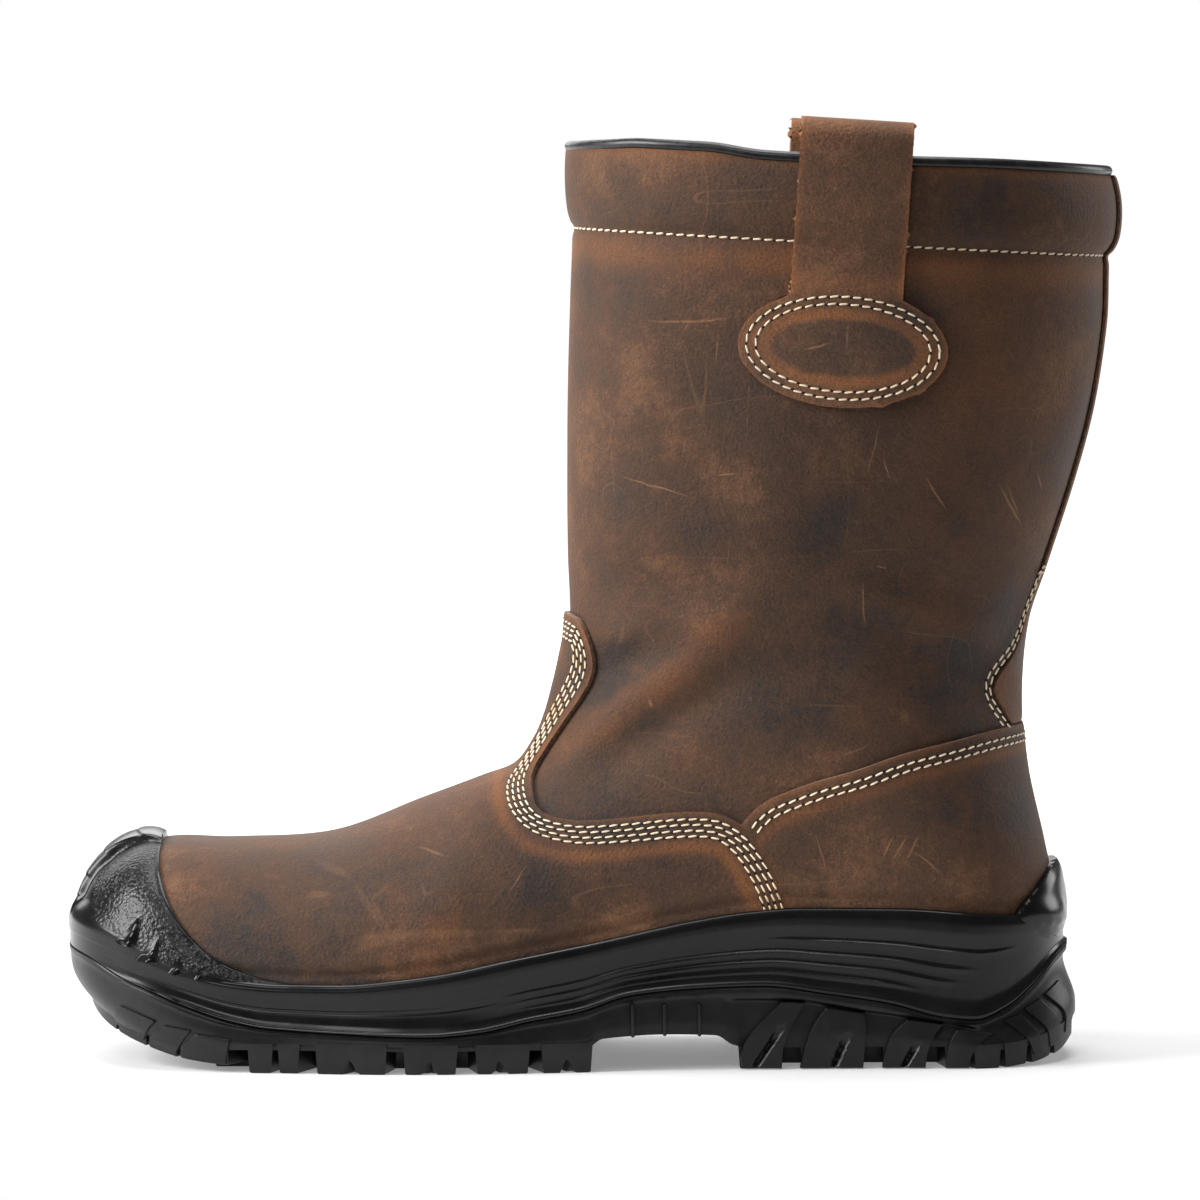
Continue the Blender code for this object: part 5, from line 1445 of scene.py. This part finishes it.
LINING_ROWS, LINING_AROUND, LINING_IN = 150, 150, -2.0
bm, column, number = grid(LINING_ROWS, LINING_AROUND)
row = rows_between(0.0, TOP_ROW, LINING_ROWS)[column]
turn = number / LINING_AROUND
lay(bm, on_leather(row, turn, np.full(len(row), LINING_IN)))
face_out(bm, inwards=True)
piece("lining_cloth", bm, [lining_cloth()])

# %% Footbed
FLOOR_LINE = [
    (-180.0, 32.0), (-140.0, 29.4), (-132.0, 26.2), (-121.0, 23.2), (-103.0, 20.6), (-75.0, 18.8),
    (-48.0, 18.8), (-15.0, 21.5), (22.0, 26.0), (70.0, 30.5), (118.0, 32.5), (180.0, 34.6),
]
FOOTBED_RINGS, FOOTBED_INSET, FOOTBED_THICK, FOOTBED_DISH = 12, 9.5, 4.0, 0.8
FOOTBED_FROM, FOOTBED_TO = -110.0, 100.0
FELT = two_tone(
    "grey_felt", (520.0, 5.0, 0.75), (0.022, 0.022, 0.024), (0.075, 0.075, 0.08), (0.7, 0.001),
    roughness=0.95, sheen_weight=0.3, sheen_roughness=0.5,
)

bm, column, number = grid(around, FOOTBED_RINGS)
spot = column % around
share = number / FOOTBED_RINGS
rim_flat = sole_edge[spot] - edge_out[spot] * FOOTBED_INSET
spine = np.column_stack([np.clip(rim_flat[:, 0], FOOTBED_FROM, FOOTBED_TO), swing(edge_x[spot])])
flat = rim_flat * (1.0 - share[:, None]) + spine * share[:, None]
z = glide(FLOOR_LINE, flat[:, 0]) + GAP + FOOTBED_THICK - FOOTBED_DISH * (1.0 - (1.0 - share) ** 3)
lay(bm, np.column_stack([flat, z]))
face_out(bm, lambda face: face.normal.z)
piece("footbed_felt", bm, [FELT], ["insole"])

# %% [markdown]
# ## Pull straps
# Each strap is one strip of leather that ends outside in an oval patch, turns over the collar as a loop and
# is sewn in again inside. Its path is known (up the outside, over, down the inside), so a grid follows it,
# and a Solidify modifier gives it the thickness of the hide. The raw edges stay visible as lighter fibre.

# %% Pull straps
PATCH_X, PATCH_Z, STRAP_LEAN = 80.1, 215.7, math.radians(3.6)
PATCH_HALF_LENGTH, PATCH_HALF_HEIGHT, STRAP_HALF, STRAP_THICK = 30.9, 17.5, 16.5, 2.0
RIM_RISE, LOOP_RISE, LOOP_HALF, INNER_END, WALL_RISE = 55.5, 62.0, 4.6, 44.0, 51.0
SPREAD_FROM, STRAP_CLEAR, STRAP_SLACK, STRAP_ACROSS = 40.0, 0.25, 0.6, 84
RING_LONG, RING_TALL, RING_OILED = 21.3, 8.6, 0.42
FOOT_UNDER = PATCH_Z + 10.0               # faces below this height belong to the outer leaf
UP = np.array([math.sin(STRAP_LEAN), 0.0, math.cos(STRAP_LEAN)])
ACROSS = np.array([math.cos(STRAP_LEAN), 0.0, -math.sin(STRAP_LEAN)])


def strap_half(rise):
    """Half width: an oval at the foot, straight above it, with a soft corner between."""
    oval = PATCH_HALF_LENGTH * np.sqrt(np.clip(1.0 - (rise / PATCH_HALF_HEIGHT) ** 2, 0.0, None))
    return np.where(rise < 0.0, oval, np.maximum(oval, STRAP_HALF))


def wall_y(places, side):
    """Where the outside of the shaft's wall lies beside a place."""
    way = Vector((0.0, -side, 0.0))
    starts = [Vector((x, side * FAR * MM, z)) for x, _, z in placed(places).tolist()]
    return np.array([shaft_tree.ray_cast(start, way)[0].y / MM for start in starts])


def strap_places(side, offset, rise, over):
    """Places on the strap's middle surface; over runs from the outer leaf (0) to the inner leaf (1)."""
    spots = np.array([PATCH_X, 0.0, PATCH_Z]) + rise[:, None] * UP + offset[:, None] * ACROSS
    level = spots - np.clip(rise - WALL_RISE, 0.0, None)[:, None] * UP
    clear = STRAP_CLEAR + STRAP_THICK / 2.0
    outer = wall_y(level, side) + side * clear
    inner = outer - side * (LEATHER_WALL + 2.0 * clear + STRAP_SLACK)
    middle = (outer + inner) / 2.0
    spread = ease(rise, SPREAD_FROM, LOOP_RISE)
    half = np.abs(outer - inner) / 2.0 * (1.0 - spread) + LOOP_HALF * spread
    spots[:, 1] = middle + side * half * (1.0 - 2.0 * over)
    return spots


def strap_path():
    """Rise and over along the strap, evenly spaced."""
    up = [(-PATCH_HALF_HEIGHT * math.cos(angle), 0.0) for angle in np.linspace(0.0, np.pi / 2.0, 16)]
    up += [(rise, 0.0) for rise in np.linspace(0.5, LOOP_RISE, 60)]
    turn_over = [
        (LOOP_RISE + LOOP_HALF * math.sin(angle), (1.0 - math.cos(angle)) / 2.0)
        for angle in np.linspace(0.0, np.pi, 17)[1:]
    ]
    down = [(rise, 1.0) for rise in np.linspace(LOOP_RISE - 1.0, INNER_END, 14)]
    return np.array(up + turn_over + down)


path = strap_path()
STRAPS = ((-1, "pull_strap_outer", "pull_loop_lateral"), (1, "pull_strap_inner", "pull_loop_medial"))
for side, name, node in STRAPS:
    bm, column, number = grid(STRAP_ACROSS, len(path) - 1)
    rise, over = path[number, 0], path[number, 1]
    half = strap_half(np.minimum(rise, RIM_RISE))
    share = 2.0 * column / STRAP_ACROSS - 1.0
    fray = 0.06 * np.sin(rise * 2.9 + share) + 0.05 * np.sin(rise * 7.3 + 2.0 * share)
    offset = np.sin(share * np.pi / 2.0) * half
    offset = offset + np.where(np.abs(share) > 0.99, np.sign(share) * fray, 0.0)
    lay(bm, strap_places(side, offset, rise, over))
    to_edge = half - np.abs(offset)
    ringed = np.hypot(offset / RING_LONG, rise / RING_TALL)
    ring = ease(ringed, 0.97, 1.06) * (1.0 - ease(ringed, 1.2, 1.5))
    tag(bm, "oiled_and_shade", RING_OILED * (1.0 - ease(ringed, 0.93, 1.0)))
    rubbed = 0.85 * np.exp(-to_edge / 1.1) + 0.8 * ring
    rubbed += 0.35 * hump(rise, 19.0, 3.0) + 0.35 * hump(rise, LOOP_RISE + 4.0, 4.0)
    tag(bm, "worn", np.clip(rubbed, 0.0, 1.0))
    face_out(bm, lambda face: face.normal.y * side * (face.calc_center_median().z < FOOT_UNDER * MM))
    strap = piece(name, bm, [STRAP_LEATHER, RAW_EDGE], [node])
    thick = strap.modifiers.new("hide", "SOLIDIFY")
    thick.thickness = STRAP_THICK * MM
    thick.offset = 0.0
    thick.material_offset_rim = 1
print("straps follow", len(path), "rows")

# %% [markdown]
# ## Stitching
# Cream thread holds the boot together: four rows along the vamp, two along the counter and the back stay,
# one under the cuff and two ovals on each strap. A stitch is a small spindle that lies on the leather, and
# at each end lies a flat dark spindle of painted shade for the needle hole. A bump could draw the thread, but
# it would vanish on the outline. Seams are walked in even steps on the last, so stitches sit on every fold.

# %% Seams
PITCH, STITCH_LONG, THREAD, SLANT = 3.4, 2.6, 0.29, math.radians(7.0)
VAMP_ROWS_AT, COUNTER_ROWS_AT = (2.4, 4.1, 5.9, 7.6), (3.1, 5.2)
SEARCH_ROWS, SEARCH_TURNS = np.linspace(0.5, TOP_ROW, 500), np.linspace(0.01, 0.49, 180)
fine_rows, fine_turns = (part.ravel() for part in np.meshgrid(SEARCH_ROWS, SEARCH_TURNS, indexing="ij"))
side_tree = KDTree(len(fine_rows))
for index, spot in enumerate(last_point(fine_rows, fine_turns)):
    side_tree.insert((spot[0], 0.0, spot[2]), index)
side_tree.balance()


def find_on_side(line):
    """Row and turn of a line of the side view, on the outer side of the last."""
    index = [side_tree.find((x, 0.0, z))[1] for x, z in line.tolist()]
    return settle(fine_rows[index], fine_turns[index], line, SIDE_VIEW)


def inset_path(row, turn, distance, sign):
    """A path on the last beside another one; sign says to which side."""
    places, normals = last_point(row, turn), last_normal(row, turn)
    along = np.gradient(places, axis=0)
    aside = np.cross(normals, along)
    aside /= np.linalg.norm(aside, axis=1, keepdims=True)
    return settle(row, turn, places + sign * distance * aside, [0, 1, 2])


def even_steps(places, normals, step):
    """Points every step along a path, with the way along it and the way out of the surface."""
    length = lengths(places)
    at = np.arange(step / 2.0, length[-1], step)
    before, spots, after = (
        np.column_stack([np.interp(at + ahead, length, places[:, k]) for k in range(3)])
        for ahead in (-0.8, 0.0, 0.8)
    )
    outward = np.column_stack([np.interp(at, length, normals[:, k]) for k in range(3)])
    return spots, after - before, outward


seams = []


def sew(row, turn, out):
    """Keep a seam that runs along rows and turns of the last, at a height over it."""
    seams.append((on_leather(row, turn, np.full(len(row), out)), last_normal(row, turn)))


BRIDGE_POINTS, MIDDLE_TURN = 8, 0.012


def join(row, turn, other_row, other_turn):
    """One path of two legs: up the first, across, and down the second."""
    across = np.linspace(turn[-1], other_turn[-1], BRIDGE_POINTS + 2)[1:-1]
    return (np.concatenate([row, np.full(BRIDGE_POINTS, row[-1]), other_row[::-1]]),
            np.concatenate([turn, across, other_turn[::-1]]))


def both_sides(line, wrap):
    """A line of the side view as one path up the outer side, across the middle and down the inner side."""
    row, turn = find_on_side(line)
    clear = np.abs(turn - wrap / 2.0) > MIDDLE_TURN
    row, turn = row[clear], turn[clear]
    return join(row, turn, row, wrap - turn)


SEAM_CLEAR, CUFF_SEAM_POINTS, CUFF_SEAM_OUT = 0.8, 400, 0.1
vamp_row, vamp_turn = both_sides(vamp_edge[::-1], 1.0)
counter_row, counter_turn = both_sides(counter_edge, 0.0)
for distance in VAMP_ROWS_AT:
    sew(*inset_path(vamp_row, vamp_turn, distance, 1.0), OVERLAY_TOP)
for distance in COUNTER_ROWS_AT:
    row, turn = inset_path(counter_row, counter_turn, distance, -1.0)
    free = depth_in(vamp_pattern, last_point(row, turn)) < -SEAM_CLEAR
    sew(row[free], turn[free], COUNTER_TOP)
cuff_turns = np.linspace(0.03, 0.97, CUFF_SEAM_POINTS)
sew(np.full(CUFF_SEAM_POINTS, CUFF_SEAM_ROW), cuff_turns, CUFF_SEAM_OUT)
print(len(seams), "seams on the last")

# %% Stay and strap seams
STAY_ROWS_AT, STAY_SEWN_TO, STAY_SINK = (2.6, 4.6), 152.0, 0.25
HEEL_ROW = 12           # from this row of the last on, the back rises steadily
STITCH_OVALS, OVAL_POINTS = ((28.6, 15.2), (25.8, 13.0)), 140
for distance in STAY_ROWS_AT:
    legs = []
    for side in (-1.0, 1.0):
        line = stay_edge[stay_edge[:, 1] < STAY_SEWN_TO - distance]
        row = np.interp(line[:, 1], LAST_COLUMNS[HEEL_ROW:, 1], np.arange(HEEL_ROW, len(LAST)))
        reach = np.interp(row, np.arange(len(LAST)), LAST_COLUMNS[:, 4])
        turn = -side * np.arcsin(np.clip(line[:, 0] / reach, 0.0, 0.9)) / (2.0 * np.pi) * 0.8
        row, turn = settle(row, turn, line * [side, 1.0], BACK_VIEW)
        legs.append(inset_path(row, turn, distance, -side))
    sew(*join(*legs[0], *legs[1]), STAY_TOP - STAY_SINK)
angles = np.linspace(0.0, 2.0 * np.pi, OVAL_POINTS)
for side in (-1, 1):
    for long, tall in STITCH_OVALS:
        spots = strap_places(side, long * np.cos(angles), tall * np.sin(angles), np.zeros(OVAL_POINTS))
        spots[:, 1] += side * STRAP_THICK / 2.0
        seams.append((spots, np.tile([0.0, float(side), 0.0], (OVAL_POINTS, 1))))
print(len(seams), "seams in all")

# %% Thread and needle holes
def thread():
    """Waxed cream thread with warmer, soiled stretches."""
    material, tree, shader, where = new_finish("cream_thread")
    stain = clouds(tree, where, 55.0, 3.0)
    ply = clouds(tree, where, 1500.0, 2.0)
    colour = between(tree, span(tree, stain, 0.5, 0.75), (0.94, 0.78, 0.57), (0.84, 0.57, 0.30))
    colour = between(tree, span(tree, ply, 0.3, 0.6, 0.35, 0.0), colour, (0.36, 0.23, 0.11))
    dress(tree, shader, colour, ply, 0.5, 0.0003, roughness=0.65, sheen_weight=0.2, sheen_roughness=0.4)
    return material


def painted_hole_shade():
    """Painted shade: a dark body for the shaded inside of a needle hole."""
    material, tree, shader, where = new_finish("needle_hole_shade")
    colour = between(tree, clouds(tree, where, 400.0), (0.004, 0.003, 0.002), (0.012, 0.007, 0.005))
    tree.links.new(colour, shader.inputs["Base Color"])
    set_shader(shader, roughness=0.95)
    return material


CREAM_THREAD, NEEDLE_HOLE_SHADE = thread(), painted_hole_shade()
print("seam finishes", CREAM_THREAD.name, NEEDLE_HOLE_SHADE.name)

# %% Stitches
STITCH_UP, BLUNT_POWER, THINNEST = 0.1, 5, 0.1
HOLE_LONG, HOLE_WIDE, HOLE_TALL = 1.0, 0.36, 0.22


def spindle(long, wide, tall):
    """A slim body along x with blunt ends."""
    bm = bmesh.new()
    bmesh.ops.create_uvsphere(bm, u_segments=6, v_segments=6, radius=1.0)
    bmesh.ops.rotate(bm, verts=bm.verts, matrix=Matrix.Rotation(math.pi / 2.0, 3, "Y"))
    for vert in bm.verts:
        blunt = math.sqrt(1.0 - min(abs(vert.co.x), 1.0) ** BLUNT_POWER)
        vert.co.yz *= blunt / max(math.hypot(vert.co.y, vert.co.z), THINNEST)
    bmesh.ops.scale(bm, verts=bm.verts, vec=Vector((long / 2.0, wide, tall)) * MM)
    mesh = bpy.data.meshes.new("spindle")
    bm.to_mesh(mesh)
    bm.free()
    return mesh


def scatter(name, shape, finish, step_back, sink):
    """One piece of many small bodies along all seams."""
    bm = bmesh.new()
    for places, normals in seams:
        spots, along, outward = even_steps(places, normals, PITCH)
        for spot, way, up in zip(spots, along, outward):
            up = Vector(up).normalized()
            way = Matrix.Rotation(SLANT, 3, up) @ Vector(way).normalized()
            spot = Vector(placed(np.array([spot]))[0]) + way * step_back * MM - up * sink * MM
            side_way = up.cross(way).normalized()
            turned = Matrix((way, side_way, way.cross(side_way))).transposed().to_4x4()
            first = len(bm.verts)
            bm.from_mesh(shape)
            bm.verts.ensure_lookup_table()
            bmesh.ops.transform(bm, matrix=Matrix.Translation(spot) @ turned, verts=bm.verts[first:])
    bpy.data.meshes.remove(shape)
    piece(name, bm, [finish])


scatter("seam_stitches", spindle(STITCH_LONG, THREAD, THREAD * 0.9), CREAM_THREAD, 0.0, -STITCH_UP)
# dark spindles of painted shade in the needle holes
scatter("needle_hole_shades", spindle(HOLE_LONG, HOLE_WIDE, HOLE_TALL), NEEDLE_HOLE_SHADE, PITCH / 2.0, 0.0)
